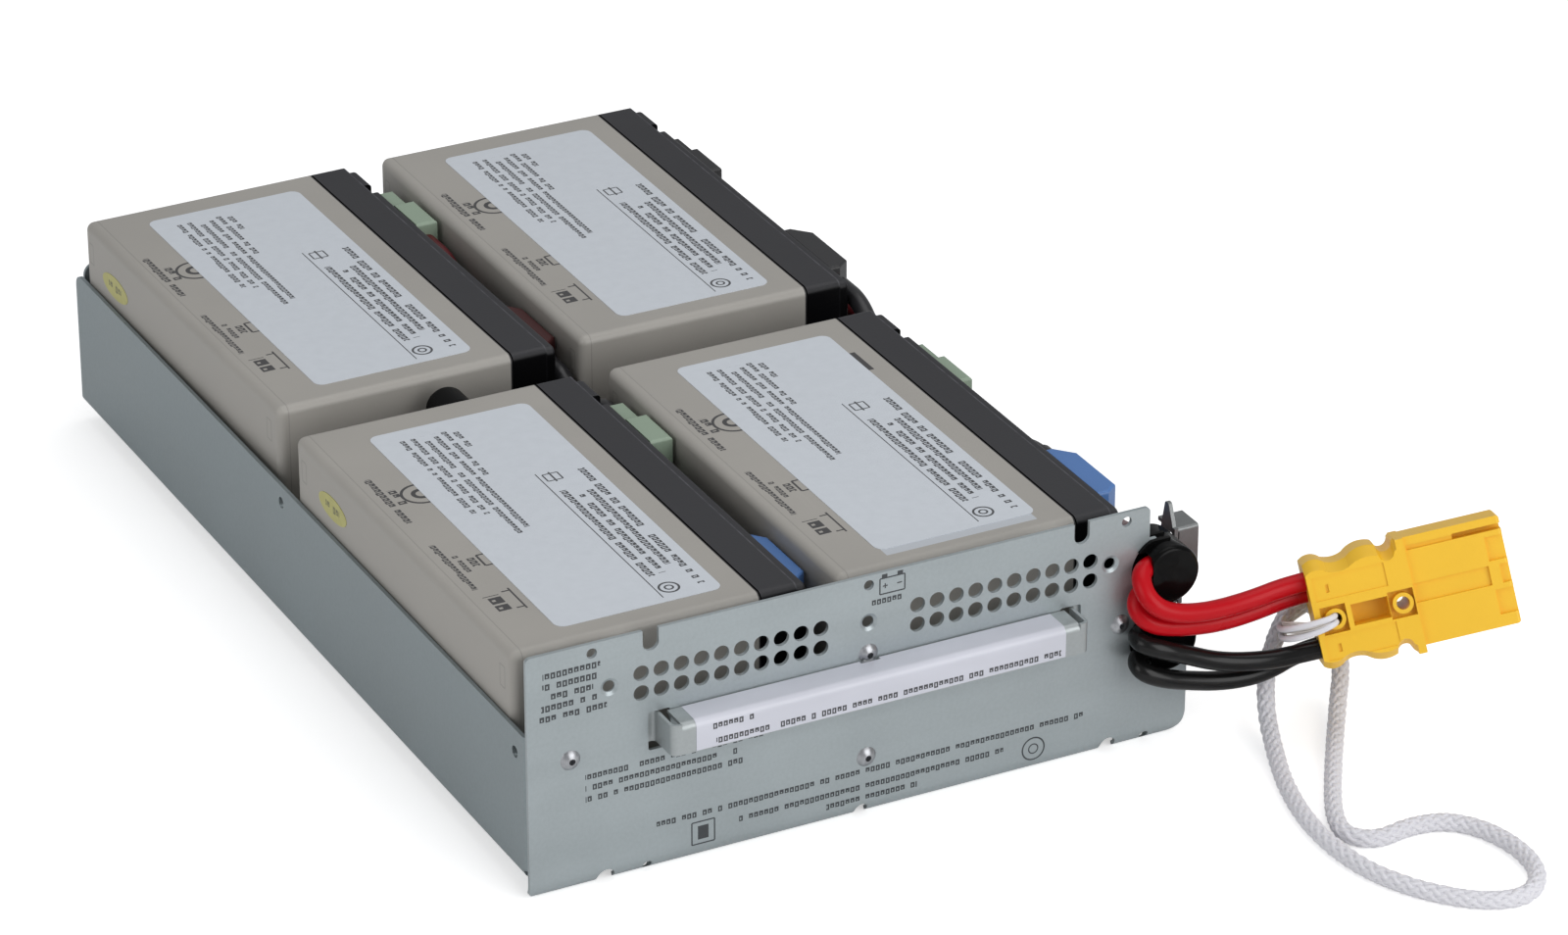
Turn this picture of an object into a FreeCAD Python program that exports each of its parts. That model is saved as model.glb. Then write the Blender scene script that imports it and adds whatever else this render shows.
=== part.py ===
"""Battery cartridge of a rack power supply: four lead-acid batteries in a folded steel tray.

Millimetres, +Z up. The front panel faces -Y. While the pieces are made, x is 0 at the panel's
left edge, y is 0 at its front face and z is 0 under the tray floor. The finished pieces are then
moved together, so that the origin lies under the middle of the cartridge, cords left out.
"""

import FreeCAD, Part
import math
import os

# ---- one battery, laid on its long side with the cover to the right ----
CELL_LENGTH = 151.0          # along y
CELL_HEIGHT = 94.0           # along x, case and cover
CELL_WIDTH = 65.0            # along z

# ---- how the four batteries stand in the tray ----
SHEET = 1.2                  # steel thickness of tray, panel and bracket
LEFT_PLAY = 0.5              # between the left wall and the battery beside it
COLUMN_GAP = 7.9             # between the left and the right batteries
WIRE_LANE = 13.8             # between the right batteries and the right wall
FRONT_ROOM = 13.2
ROW_GAP = 17.8               # between the front and the rear batteries
REAR_ROOM = 6.0
LEFT = SHEET + LEFT_PLAY
MIDDLE = LEFT + CELL_HEIGHT + COLUMN_GAP         # left side of the front right battery
ROW = FRONT_ROOM + CELL_LENGTH                   # rear end of the front left battery
BATTERY_GAP = 0.1            # under the batteries, where they stand on the floor
BATTERIES = {                # corner x, corner y, yaw in degrees
    "fl": (LEFT, FRONT_ROOM, 0.0),
    "fr": (MIDDLE, FRONT_ROOM - 1.0, 0.0),
    "rl": (LEFT + 2.0, ROW + ROW_GAP, 0.75),
    "rr": (MIDDLE + 1.3, ROW + ROW_GAP + 1.7, 0.0),
}

# ---- folded sheet: tray and front panel ----
BEND = 1.0                   # inside radius of the tray's bends
TRAY_WIDTH = MIDDLE + CELL_HEIGHT + WIRE_LANE + SHEET
TRAY_REAR = ROW + ROW_GAP + CELL_LENGTH + REAR_ROOM      # rear face, from the panel's front face
WALL_HEIGHT = 45.8
REAR_WALL_HEIGHT = 48.5
WALL_CORNER = 4.0            # rounding of the walls' upper rear corners
LEFT_FLANGE = 20.0           # width of the flange behind the panel at the left wall
RIGHT_FLANGE = 30.0
FLANGE_BOTTOM = 2.6
CENTRE_TAB_WIDTH = 24.0
CENTRE_TAB_TOP = 51.5
WALL_RELIEF = 6.5            # half height of the right wall's cut-outs beside the bushings
WALL_HOLE = 3.6
WALL_HOLES = ((8.2, 38.5), (173.0, 40.2))

PANEL_WIDTH = TRAY_WIDTH + 0.2
PANEL_TOP = 71.65
PANEL_BOTTOM = -6.1          # lowest edge of the curled lip
LIP_START = -1.5             # the panel is flat above this height
LIP_TURN = 62.0              # degrees through which the lip curls back
PANEL_CORNER = 1.5
TOP_RIGHT_EDGE = PANEL_WIDTH - 13.8      # right edge beside the upper cable notch
TOP_RIGHT_FOOT = 61.0
NOTCH_CENTRE_X = PANEL_WIDTH - 9.4
UPPER_NOTCH_Z = 51.0
LOWER_NOTCH_Z = 28.7
NOTCH_RADIUS = 10.2
FINGER_END = PANEL_WIDTH - 3.8   # end of the finger between the two notches
EAR_RADIUS = 7.6             # rounding of the ear's lower right corner

PERF_PITCH = 6.28
PERF_DIAMETER = 4.8
PERF_COLUMNS = 10
PERF_ROWS_Z = (52.2, 58.5)
PERF_STARTS_X = (35.4, PANEL_WIDTH - 89.9)
TOP_SLOT_WIDTH = 5.0
TOP_SLOT_BOTTOM = 65.0
TOP_SLOTS_X = (38.5, PANEL_WIDTH - 36.4)
PLAIN_HOLE = 3.2
PANEL_MIDDLE = PANEL_WIDTH / 2 + 0.8     # line of the holes and rivets in the middle
PLAIN_HOLES = ((20.3, 68.6), (PANEL_MIDDLE, 68.6), (PANEL_WIDTH - 21.6, 68.6))
THREAD_HOLE = 3.6
DIMPLE = 5.6
THREAD_HOLES = ((25.6, 56.6), (PANEL_MIDDLE, 56.7), (PANEL_WIDTH - 26.7, 56.0))
EDGE_HOLE = 2.8
EDGE_HOLES_X = (37.0, PANEL_WIDTH - 13.5)
EDGE_HOLE_Z = -4.3
BOTTOM_NOTCHES = (            # centre, width, top
    (24.0, 5.5, -2.0), (PANEL_MIDDLE - 1.7, 4.0, -2.5), (PANEL_WIDTH - 25.8, 5.0, -1.8))

RIVET_HEAD = 6.2
RIVET_HEAD_HEIGHT = 1.5
RIVET_SHANK = 3.2
RIVET_BORE = 1.9             # hollow left where the mandrel broke off
RIVET_GAP = 0.05
RIVETS = ((13.2, 36.4), (PANEL_MIDDLE - 0.1, 46.6), (PANEL_MIDDLE - 0.5, 13.0), (PANEL_WIDTH - 22.9, 35.3))

# ---- carrying handle, folded from strip ----
HANDLE_SHEET = 1.0
HANDLE_LEFT = 40.0
HANDLE_RIGHT = PANEL_WIDTH - 38.8
HANDLE_REACH = 10.0          # from the panel's front face to the handle's front face
HANDLE_BOTTOM = 35.3
HANDLE_TOP = 44.9
HANDLE_BEND = 1.2
WINDOW_WIDTH = 7.0
WINDOW_MARGIN = 2.6          # window wider than the handle's leg on its outer side
WINDOW_BOTTOM = 33.1
WINDOW_TOP = 45.4
HANDLE_FOOT = 8.0            # foot folded outwards behind the panel
STICKER = 0.15               # thickness of labels
HANDLE_LABEL_LEFT = HANDLE_LEFT + 7.5
HANDLE_LABEL_RIGHT = HANDLE_RIGHT - 8.0

# ---- a battery's case, cover and labels ----
COVER_DEPTH = 15.8
CASE_HEIGHT = CELL_HEIGHT - COVER_DEPTH      # joint between case and cover
CASE_ROUND = 2.6
COVER_SHOULDER = CELL_HEIGHT - 4.4           # where the cover steps in
COVER_STEP = 1.4
VENT_PLATE = 0.6             # raised strip over the vents
SEAM = 0.6
COVER_NOTCH = (CELL_LENGTH - 21.0, CELL_LENGTH - 14.5)
LABEL_CORNER = 3.0
LABEL_SIZE = (52.0, 131.5)
LABELS = {                   # left edge and front edge, from the battery's corner
    "fl": (18.2, 8.0),
    "fr": (17.6, 8.6),
    "rl": (17.0, 9.0),
    "rr": (17.5, 8.6),
}
OVAL_STICKERS = {             # centre along the battery, and up
    "fl": (CELL_LENGTH - 27.0, CELL_WIDTH - 12.0),
    "rl": (CELL_LENGTH - 24.0, CELL_WIDTH - 13.6),
}
OVAL_SIZE = (20.0, 7.5)

# ---- terminals and their insulating boots ----
TAB = (5.4, 0.8, 6.35)       # how far it stands out, thickness, width
TAB_Z = CELL_WIDTH - 11.0    # middle of the tabs, from the battery's lower side
TAB_CLEARANCE = 0.1
BOOT_HEIGHT = 14.0
BOOTS = {                    # thickness, and depth below the battery's top: front boot, rear boot
    "fl": ((7.2, 6.0), (7.2, 1.7)),
    "fr": ((7.6, 2.0), (6.2, 4.5)),
    "rl": ((7.2, 6.0), (7.2, 1.7)),
    "rr": ((7.6, 2.0), (6.2, 4.5)),
}
FRONT_BOOT = (14.0, 46.0)
REAR_BOOT = (CELL_LENGTH - 49.0, CELL_LENGTH - 18.5)
REAR_BOOT_STEP = 13.0        # length of the thin rear stage
THIN_STAGE = TAB[0] + 0.3
BOOT_SLOPES = (3.4, 6.0)     # how far the boot's front and rear ends lean
BOOT_ROUND = 1.0
TAB_IN_BOOT = 9.5            # from the boot's outer end to the tab
REAR_LEAD_Z = CELL_WIDTH - 19.2      # the rear right lead passes below the boots at this height

# ---- cable bushings and side bracket ----
HOOD_RADIUS = 9.2
HOOD_FRONT = -6.4            # front face of the cap
HOOD_REAR = 10.0
HOOD_WALL = 1.5
HOOD_CUT_X = 6.5             # the cap ends this far left of the axis
HOOD_POCKET_REAR = 2.0
HOOD_POCKET_RIGHT = 1.5      # blind end of the pocket, right of the axis
HOOD_LIP = 0.45              # lips that hold the hood on the panel
BRACKET_FRONT = 8.6
BRACKET_RIGHT = TRAY_WIDTH + 8.1
BRACKET_TOP = 56.9
BRACKET_SKIRT = 13.0         # height of the front plate
BRACKET_DEPTH = 9.6
EAR_TIP = (13.5, 63.7)
BRACKET_FOOT = 26.0
BRACKET_RIVET = (14.5, 34.0)

# ---- cables ----
CABLE = 5.8                  # diameter
BORE_CLEARANCE = 0.2
POCKET_CLEARANCE = 0.5       # above and below the two cables in a bushing's pocket
CABLE_SPREAD = 3.25          # half the distance between the two cables in a bushing
CABLE_SEAT = 6.0             # how far a cable goes into the connector

# ---- connector ----
PLUG_LENGTH = 58.8
PLUG_WIDTH = 34.4
PLUG_THICKNESS = 17.0
PLUG_PLACE = (NOTCH_CENTRE_X + 41.9, -15.8, 32.3)       # middle of the end where the cables enter
PLUG_ANGLES = (-21.1, -11.8, 69.2)      # yaw, pitch and roll
PLUG_FLANGE = 30.0           # where the grip ends and the mating half starts
PLUG_BEVEL = 5.0             # depth of the bevel on the grip's long edges
PLUG_TAPER = 0.84            # width left at the front face by that bevel
MATE_FRONT = 7.0             # front and rear faces of the mating half, from the middle
MATE_REAR = -6.5
MATE_BOTTOM = -15.2
BOSS_Y = -1.5
BOSSES_X = (6.0, 26.2)
BOSS_OUTER = 6.2
BOSS_HOLE = 3.9
POCKET_SIZE = 8.2
POCKET_DEPTH = 3.0
PLUG_WINDOW = (11.0, 22.0, 6.4)         # start, end, height
RED_SEATS = ((10.4, 2.2), (6.4, -2.2))      # up, and towards the front
BLACK_SEATS = ((-9.9, 2.95), (-9.9, -2.95))
SOCKET = (20.0, 9.0, 9.0)    # length, width and thickness of a contact chamber
SOCKET_SPREAD = 7.4
CONTACT = (17.0, 6.0, 2.4)

# ---- pull cord ----
CORD = 5.6
KNOT_RADIUS = 5.4
CORD_IN_KNOT = 4.2           # from the knot's centre to the cord's ends
KNOT_PLACE = (4.5, 1.5)      # behind the connector, in its own length and width
STRAND = 1.8
STRAND_SPREAD = 0.95

# ---- fuse holder in the gap of the left row ----
FUSE_DIAMETER = 13.0
FUSE_LENGTH = 12.0
FUSE_CENTRE = (LEFT + 53.8, 58.6)
FUSE_GAP = 0.3

nodes = {}
cord_nodes = []


def vec(x, y, z):
    return FreeCAD.Vector(x, y, z)


def box(x0, x1, y0, y1, z0, z1):
    return Part.makeBox(x1 - x0, y1 - y0, z1 - z0, vec(x0, y0, z0))


def rod(radius, start, end):
    """Cylinder between two points."""
    axis = end - start
    return Part.makeCylinder(radius, axis.Length, start, axis)


def y_rod(x, z, diameter, y0, y1):
    return rod(diameter / 2, vec(x, y0, z), vec(x, y1, z))


def round_edges(shape, radius, choose):
    """Fillets the edges whose middle point and direction pass the test."""
    picked = []
    for edge in shape.Edges:
        middle = edge.valueAt((edge.FirstParameter + edge.LastParameter) / 2)
        along = edge.tangentAt(edge.FirstParameter)
        if choose(middle, along):
            picked.append(edge)
    return shape.makeFillet(radius, picked)


def parallel(along, axis):
    return abs(abs(along.dot(axis)) - 1) < 1e-6


X_AXIS, Y_AXIS, Z_AXIS = vec(1, 0, 0), vec(0, 1, 0), vec(0, 0, 1)


def folded(points, place, depth, thickness=SHEET, inside=BEND):
    """Folded sheet. The points are the sheet's right face in its own plane, seen along the run.

    place turns a point of that plane into space, and depth is the sheet's width as a vector.
    """
    runs = []
    for (u0, v0), (u1, v1) in zip(points, points[1:]):
        length = math.hypot(u1 - u0, v1 - v0)
        runs.append(((u1 - u0) / length, (v1 - v0) / length))
    left_face = []
    for index, (u, v) in enumerate(points):
        du0, dv0 = runs[max(index - 1, 0)]
        du1, dv1 = runs[min(index, len(runs) - 1)]
        share = thickness / (1 + du0 * du1 + dv0 * dv1)
        left_face.append((u - (dv0 + dv1) * share, v + (du0 + du1) * share))
    turns = [a[0] * b[1] - a[1] * b[0] for a, b in zip(runs, runs[1:])]
    right_radii = [inside + thickness if turn > 0 else inside for turn in turns]
    left_radii = [inside if turn > 0 else inside + thickness for turn in turns]
    outline = []
    for face, radii in ((points, right_radii), (left_face, left_radii)):
        sizes = iter(radii)
        outline += rounded_edges([place(*p) for p in face], lambda a, b, turn: next(sizes))
    for end_point in (0, -1):
        outline.append(Part.LineSegment(vec(*place(*points[end_point])),
                                        vec(*place(*left_face[end_point]))).toShape())
    wire = Part.Wire(Part.__sortEdges__(outline))
    return Part.Face(wire).extrude(depth)


def rounded_edges(points, radius_rule):
    """Straight runs joined by tangent arcs. The rule gives each arc its radius."""
    points = [vec(*p) for p in points]
    edges = []
    last = points[0]
    for before, corner, after in zip(points, points[1:], points[2:]):
        to_corner = corner - before
        to_after = after - corner
        run_in, run_out = to_corner.Length, to_after.Length
        to_corner.normalize()
        to_after.normalize()
        turn = math.acos(max(-1.0, min(1.0, to_corner.dot(to_after))))
        radius = radius_rule(run_in, run_out, turn)
        reach = radius * math.tan(turn / 2)
        start = corner - to_corner * reach
        end = corner + to_after * reach
        inward = to_after - to_corner
        inward.normalize()
        middle = corner + inward * (radius / math.cos(turn / 2) - radius)
        if (start - last).Length > 1e-6:
            edges.append(Part.LineSegment(last, start).toShape())
        edges.append(Part.Arc(start, middle, end).toShape())
        last = end
    if (points[-1] - last).Length > 1e-6:
        edges.append(Part.LineSegment(last, points[-1]).toShape())
    return edges


def cord_radius(run_in, run_out, turn):
    return 0.45 * min(run_in, run_out) / math.tan(turn / 2)


def tube(name, points, diameter):
    """Round cord along a route, with arcs as large as its runs allow."""
    radii = []

    def rule(run_in, run_out, turn):
        radii.append(cord_radius(run_in, run_out, turn))
        return radii[-1]

    path = Part.Wire(rounded_edges(points, rule))
    start, second = vec(*points[0]), vec(*points[1])
    circle = Part.Wire(Part.Circle(start, second - start, diameter / 2).toShape())
    solid = path.makePipeShell([circle], True, False)
    expected = math.pi * diameter ** 2 / 4 * path.Length
    print(f"{name}: length {path.Length:.0f}, volume {solid.Volume / expected:.3f} of expected,",
          "radii", " ".join(f"{r:.0f}" for r in radii))
    return solid


# ---- tray ----

def make_tray():
    """Floor and side walls in one fold, with rear wall, front flanges and a centre tab."""
    right = TRAY_WIDTH
    flange_face = SHEET
    front = flange_face + SHEET + BEND
    rear_bend = TRAY_REAR - SHEET - BEND

    def across(u, v):
        return (u, front, v)

    shell = folded([(0, WALL_HEIGHT), (0, 0), (right, 0), (right, WALL_HEIGHT)], across,
                   vec(0, TRAY_REAR - front, 0))
    inset = SHEET + BEND + 0.4
    shell = shell.cut(box(inset, right - inset, rear_bend, TRAY_REAR, -1, SHEET + 1))

    def rear_place(u, v):
        return (inset, u, v)

    rear = folded([(rear_bend, 0), (TRAY_REAR, 0), (TRAY_REAR, REAR_WALL_HEIGHT)], rear_place,
                  vec(right - 2 * inset, 0, 0))
    rear_corners = round_edges(rear, WALL_CORNER,
                               lambda m, d: parallel(d, Y_AXIS) and m.z > REAR_WALL_HEIGHT - 0.1)
    shell = shell.fuse(rear_corners)

    def left_place(u, v):
        return (u, v, FLANGE_BOTTOM)

    flange_up = vec(0, 0, WALL_HEIGHT - FLANGE_BOTTOM)
    left = folded([(0, front), (0, flange_face), (LEFT_FLANGE, flange_face)], left_place, flange_up)
    right_flange = folded([(right - RIGHT_FLANGE, flange_face), (right, flange_face), (right, front)],
                          left_place, flange_up)
    shell = shell.fuse(left).fuse(right_flange)
    for z in (UPPER_NOTCH_Z, LOWER_NOTCH_Z):
        low, high = z - NOTCH_RADIUS, min(z + NOTCH_RADIUS, WALL_HEIGHT + 1)
        shell = shell.cut(y_rod(NOTCH_CENTRE_X, z, 2 * NOTCH_RADIUS, 0, front))
        shell = shell.cut(box(NOTCH_CENTRE_X, right + 1, 0, front, low, high))
        shell = shell.cut(box(right - 2, right + 1, 0, HOOD_REAR + 0.5, z - WALL_RELIEF, z + WALL_RELIEF))
    tab_left = RIVETS[1][0] - CENTRE_TAB_WIDTH / 2

    def tab_place(u, v):
        return (tab_left, u, v)

    tab = folded([(flange_face, CENTRE_TAB_TOP), (flange_face, 0), (front, 0)], tab_place,
                 vec(CENTRE_TAB_WIDTH, 0, 0))
    shell = shell.fuse(tab).removeSplitter()
    shell = round_edges(shell, WALL_CORNER, lambda m, d: parallel(d, X_AXIS)
                        and m.y > TRAY_REAR - 0.1 and abs(m.z - WALL_HEIGHT) < 0.1)
    for y, z in WALL_HOLES:
        shell = shell.cut(rod(WALL_HOLE / 2, vec(-1, y, z), vec(SHEET + 1, y, z)))
    for x, z in RIVETS:
        shell = shell.cut(y_rod(x, z, RIVET_SHANK + 2 * RIVET_GAP, 0, front))
    bracket_y, bracket_z = BRACKET_RIVET
    hole = RIVET_SHANK / 2 + RIVET_GAP
    return shell.cut(rod(hole, vec(right - 3, bracket_y, bracket_z), vec(right + 1, bracket_y, bracket_z)))


# ---- front panel ----

def panel_sheet():
    """Flat sheet whose lower edge curls back in an arc."""
    turn = math.radians(LIP_TURN)
    outer = (LIP_START - PANEL_BOTTOM) / math.sin(turn)
    inner = outer - SHEET
    centre_y = outer

    def at(radius, angle):
        return vec(0, centre_y - radius * math.cos(angle), LIP_START - radius * math.sin(angle))

    top = PANEL_TOP
    edges = [
        Part.LineSegment(vec(0, 0, top), at(outer, 0)).toShape(),
        Part.Arc(at(outer, 0), at(outer, turn / 2), at(outer, turn)).toShape(),
        Part.LineSegment(at(outer, turn), at(inner, turn)).toShape(),
        Part.Arc(at(inner, turn), at(inner, turn / 2), at(inner, 0)).toShape(),
        Part.LineSegment(at(inner, 0), vec(0, SHEET, top)).toShape(),
        Part.LineSegment(vec(0, SHEET, top), vec(0, 0, top)).toShape(),
    ]
    return Part.Face(Part.Wire(edges)).extrude(vec(PANEL_WIDTH, 0, 0))


def make_panel():
    panel = panel_sheet()
    panel = panel.cut(box(TOP_RIGHT_EDGE, PANEL_WIDTH + 1, -1, 9, TOP_RIGHT_FOOT, PANEL_TOP + 1))
    for z in (UPPER_NOTCH_Z, LOWER_NOTCH_Z):
        panel = panel.cut(y_rod(NOTCH_CENTRE_X, z, 2 * NOTCH_RADIUS, -1, 9))
        panel = panel.cut(box(NOTCH_CENTRE_X, PANEL_WIDTH + 1, -1, 9, z - NOTCH_RADIUS, z + NOTCH_RADIUS))
    finger_low = LOWER_NOTCH_Z + NOTCH_RADIUS
    finger_high = UPPER_NOTCH_Z - NOTCH_RADIUS
    panel = panel.cut(box(FINGER_END, PANEL_WIDTH + 1, -1, 9, finger_low - 0.1, finger_high + 0.1))
    panel = round_edges(panel, PANEL_CORNER, lambda m, d: parallel(d, Y_AXIS) and m.z > PANEL_TOP - 0.1)
    ear_top = LOWER_NOTCH_Z - NOTCH_RADIUS
    panel = round_edges(panel, 2.0, lambda m, d: parallel(d, Y_AXIS)
                        and abs(m.x - PANEL_WIDTH) < 0.1 and abs(m.z - ear_top) < 0.1)
    finger = (finger_high - finger_low) * 0.4
    panel = round_edges(panel, finger, lambda m, d: parallel(d, Y_AXIS) and abs(m.x - FINGER_END) < 0.1)
    for x in (0, PANEL_WIDTH):
        panel = panel.cut(lip_corner(x, EAR_RADIUS if x else 3.0))
    for start in PERF_STARTS_X:
        for column in range(PERF_COLUMNS):
            for z in PERF_ROWS_Z:
                panel = panel.cut(y_rod(start + column * PERF_PITCH, z, PERF_DIAMETER, -1, 3))
    half = TOP_SLOT_WIDTH / 2
    for x in TOP_SLOTS_X:
        panel = panel.cut(y_rod(x, TOP_SLOT_BOTTOM + half, TOP_SLOT_WIDTH, -1, 3))
        panel = panel.cut(box(x - half, x + half, -1, 3, TOP_SLOT_BOTTOM + half, PANEL_TOP + 1))
    for x, z in PLAIN_HOLES:
        panel = panel.cut(y_rod(x, z, PLAIN_HOLE, -1, 3))
    for x, z in THREAD_HOLES:
        panel = panel.cut(y_rod(x, z, THREAD_HOLE, -1, 3))
        panel = panel.cut(Part.makeCone(DIMPLE / 2, THREAD_HOLE / 2, SHEET / 2, vec(x, 0, z), Y_AXIS))
    for x in EDGE_HOLES_X:
        panel = panel.cut(y_rod(x, EDGE_HOLE_Z, EDGE_HOLE, -1, 9))
    for x, width, top in BOTTOM_NOTCHES:
        panel = panel.cut(y_rod(x, top - width / 2, width, -1, 9))
        panel = panel.cut(box(x - width / 2, x + width / 2, -1, 9, PANEL_BOTTOM - 2, top - width / 2))
    for left, right in handle_windows():
        window = box(left, right, -1, 3, WINDOW_BOTTOM, WINDOW_TOP)
        window = round_edges(window, 0.8, lambda m, d: parallel(d, Y_AXIS))
        panel = panel.cut(window)
    for x, z in RIVETS:
        panel = panel.cut(y_rod(x, z, RIVET_SHANK + 2 * RIVET_GAP, -1, 3))
    return panel


def lip_corner(x, radius):
    """What rounds a lower corner of the panel takes away."""
    side = 1 if x == 0 else -1
    low = PANEL_BOTTOM
    corner = box(min(x - side, x + side * radius), max(x - side, x + side * radius), -1, 9,
                 low - 1, low + radius)
    return corner.cut(y_rod(x + side * radius, low + radius, 2 * radius, -2, 10))


def handle_windows():
    """Left and right edges of the two windows that the handle's legs pass through."""
    left = HANDLE_LEFT - WINDOW_MARGIN
    right = HANDLE_RIGHT + WINDOW_MARGIN
    return (left, left + WINDOW_WIDTH), (right - WINDOW_WIDTH, right)


def make_handle():
    """Strip bent to a bow, with feet behind the panel and a flange along its top."""
    behind = SHEET + HANDLE_SHEET
    bow = [(HANDLE_LEFT - HANDLE_FOOT, behind), (HANDLE_LEFT + HANDLE_SHEET, behind),
           (HANDLE_LEFT + HANDLE_SHEET, -HANDLE_REACH + HANDLE_SHEET),
           (HANDLE_RIGHT - HANDLE_SHEET, -HANDLE_REACH + HANDLE_SHEET),
           (HANDLE_RIGHT - HANDLE_SHEET, behind), (HANDLE_RIGHT + HANDLE_FOOT, behind)]

    def bow_place(u, v):
        return (u, v, HANDLE_BOTTOM)

    height = HANDLE_TOP - HANDLE_BOTTOM
    bow_reversed = [(u, v) for u, v in reversed(bow)]
    strip = folded(bow_reversed, bow_place, vec(0, 0, height), HANDLE_SHEET, HANDLE_BEND)
    flange_left = HANDLE_LEFT + HANDLE_SHEET + HANDLE_BEND + 1
    flange_right = HANDLE_RIGHT - HANDLE_SHEET - HANDLE_BEND - 1

    def top_place(u, v):
        return (flange_left, u, v)

    lip = folded([(-0.3, HANDLE_TOP), (-HANDLE_REACH, HANDLE_TOP), (-HANDLE_REACH, HANDLE_TOP - 4)],
                 top_place, vec(flange_right - flange_left, 0, 0), HANDLE_SHEET, HANDLE_BEND)
    corner = box(flange_left, flange_right, -HANDLE_REACH - 1, -HANDLE_REACH + HANDLE_SHEET + HANDLE_BEND,
                 HANDLE_TOP - 3, HANDLE_TOP + 1)
    bow_handle = strip.cut(corner).fuse(lip).removeSplitter()
    return bow_handle.cut(rivet_relief())


def rivet_relief():
    """Room for the head of the rivet just above the handle."""
    x, z = RIVETS[1]
    return y_rod(x, z, RIVET_HEAD + 0.8, -RIVET_HEAD_HEIGHT - 0.3, 0.1)


# ---- rivets ----

def pop_rivet(face, into, grip):
    """Blind rivet: low dome, hollow shank through the sheets and the bulge behind them."""
    head_radius, shank = RIVET_HEAD / 2, RIVET_SHANK / 2
    dome_radius = (head_radius ** 2 + RIVET_HEAD_HEIGHT ** 2) / (2 * RIVET_HEAD_HEIGHT)
    dome_centre = face + into * (dome_radius - RIVET_HEAD_HEIGHT)
    dome = Part.makeSphere(dome_radius, dome_centre)
    slab = rod(head_radius, face, face - into * RIVET_HEAD_HEIGHT)
    body = dome.common(slab)
    body = body.fuse(rod(shank, face, face + into * (grip + 2.5)))
    body = body.fuse(rod(shank + 0.8, face + into * grip, face + into * (grip + 2.5)))
    return body.cut(rod(RIVET_BORE / 2, face - into * 3, face + into * (grip - 0.5)))


def make_panel_rivets():
    return [pop_rivet(vec(x, 0, z), Y_AXIS, 2 * SHEET) for x, z in RIVETS]


# ---- batteries ----

def placed(shape, key):
    x, y, yaw = BATTERIES[key]
    shape = shape.copy()
    shape.rotate(vec(0, 0, 0), Z_AXIS, yaw)
    shape.translate(vec(x, y, SHEET + BATTERY_GAP))
    return shape


def make_case():
    """Moulded case, rounded all round, with a sharp rim at the joint."""
    block = box(0, CASE_HEIGHT, 0, CELL_LENGTH, 0, CELL_WIDTH)
    block = round_edges(block, CASE_ROUND, lambda m, d: m.x < CASE_HEIGHT - 0.1)
    rim = box(CASE_HEIGHT - SEAM, CASE_HEIGHT, -1, CELL_LENGTH + 1, -1, CELL_WIDTH + 1)
    return block.cut(rim.cut(lid_block(CASE_HEIGHT - SEAM - 1, CASE_HEIGHT + 1, SEAM)))


def lid_block(x0, x1, inset, rounding=CASE_ROUND):
    block = box(x0, x1, inset, CELL_LENGTH - inset, inset, CELL_WIDTH - inset)
    return round_edges(block, rounding, lambda m, d: parallel(d, X_AXIS))


def make_cover():
    """Lid with a shoulder, a notch in its upper ledge, vent strip and tab slots."""
    lid = lid_block(CASE_HEIGHT, COVER_SHOULDER, 0)
    ledge = lid_block(COVER_SHOULDER, CELL_HEIGHT - VENT_PLATE, COVER_STEP)
    ledge = round_edges(ledge, 1.2, lambda m, d: m.x > CELL_HEIGHT - VENT_PLATE - 0.01)
    lid = lid.fuse(ledge)
    strip = box(CELL_HEIGHT - VENT_PLATE, CELL_HEIGHT, FRONT_BOOT[1] + 4, REAR_BOOT[0] - 4, 7, 38)
    lid = lid.fuse(round_edges(strip, 3.0, lambda m, d: parallel(d, X_AXIS)))
    notch_start, notch_end = COVER_NOTCH
    lid = lid.cut(box(COVER_SHOULDER, CELL_HEIGHT + 1, notch_start, notch_end, CELL_WIDTH - 4.5, CELL_WIDTH + 1))
    for tab_y in tab_places():
        lid = lid.cut(tab_block(tab_y, 2.0, TAB_CLEARANCE / 2))
    return lid.removeSplitter()


def tab_places():
    """Middle of the front and rear tabs along the battery."""
    return FRONT_BOOT[0] + TAB_IN_BOOT, REAR_BOOT[1] - TAB_IN_BOOT


def tab_block(tab_y, root, grow):
    """A tab from inside the cover to its free end, grown on its sides."""
    reach, thickness, width = TAB
    surface = CELL_HEIGHT - VENT_PLATE
    half_y, half_z = thickness / 2 + grow, width / 2 + grow
    return box(surface - root, surface + reach, tab_y - half_y, tab_y + half_y, TAB_Z - half_z, TAB_Z + half_z)


def make_tabs():
    return [tab_block(y, 2.0 - TAB_CLEARANCE, 0) for y in tab_places()]


def boot_block(start, end, thickness, top, slopes=BOOT_SLOPES):
    """Rounded block on the cover's outer face, whose ends lean inwards."""
    base = CELL_HEIGHT - VENT_PLATE
    front_slope, rear_slope = slopes
    outline = [(0, start), (thickness * 0.45, start), (thickness, start + front_slope),
               (thickness, end - rear_slope), (thickness * 0.3, end), (0, end)]
    wire = Part.makePolygon([vec(base + x, y, top - BOOT_HEIGHT) for x, y in outline + outline[:1]])
    block = Part.Face(wire).extrude(vec(0, 0, BOOT_HEIGHT))
    return round_edges(block, BOOT_ROUND, lambda m, d: m.x > base + 0.1 and not parallel(d, Z_AXIS))


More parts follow.
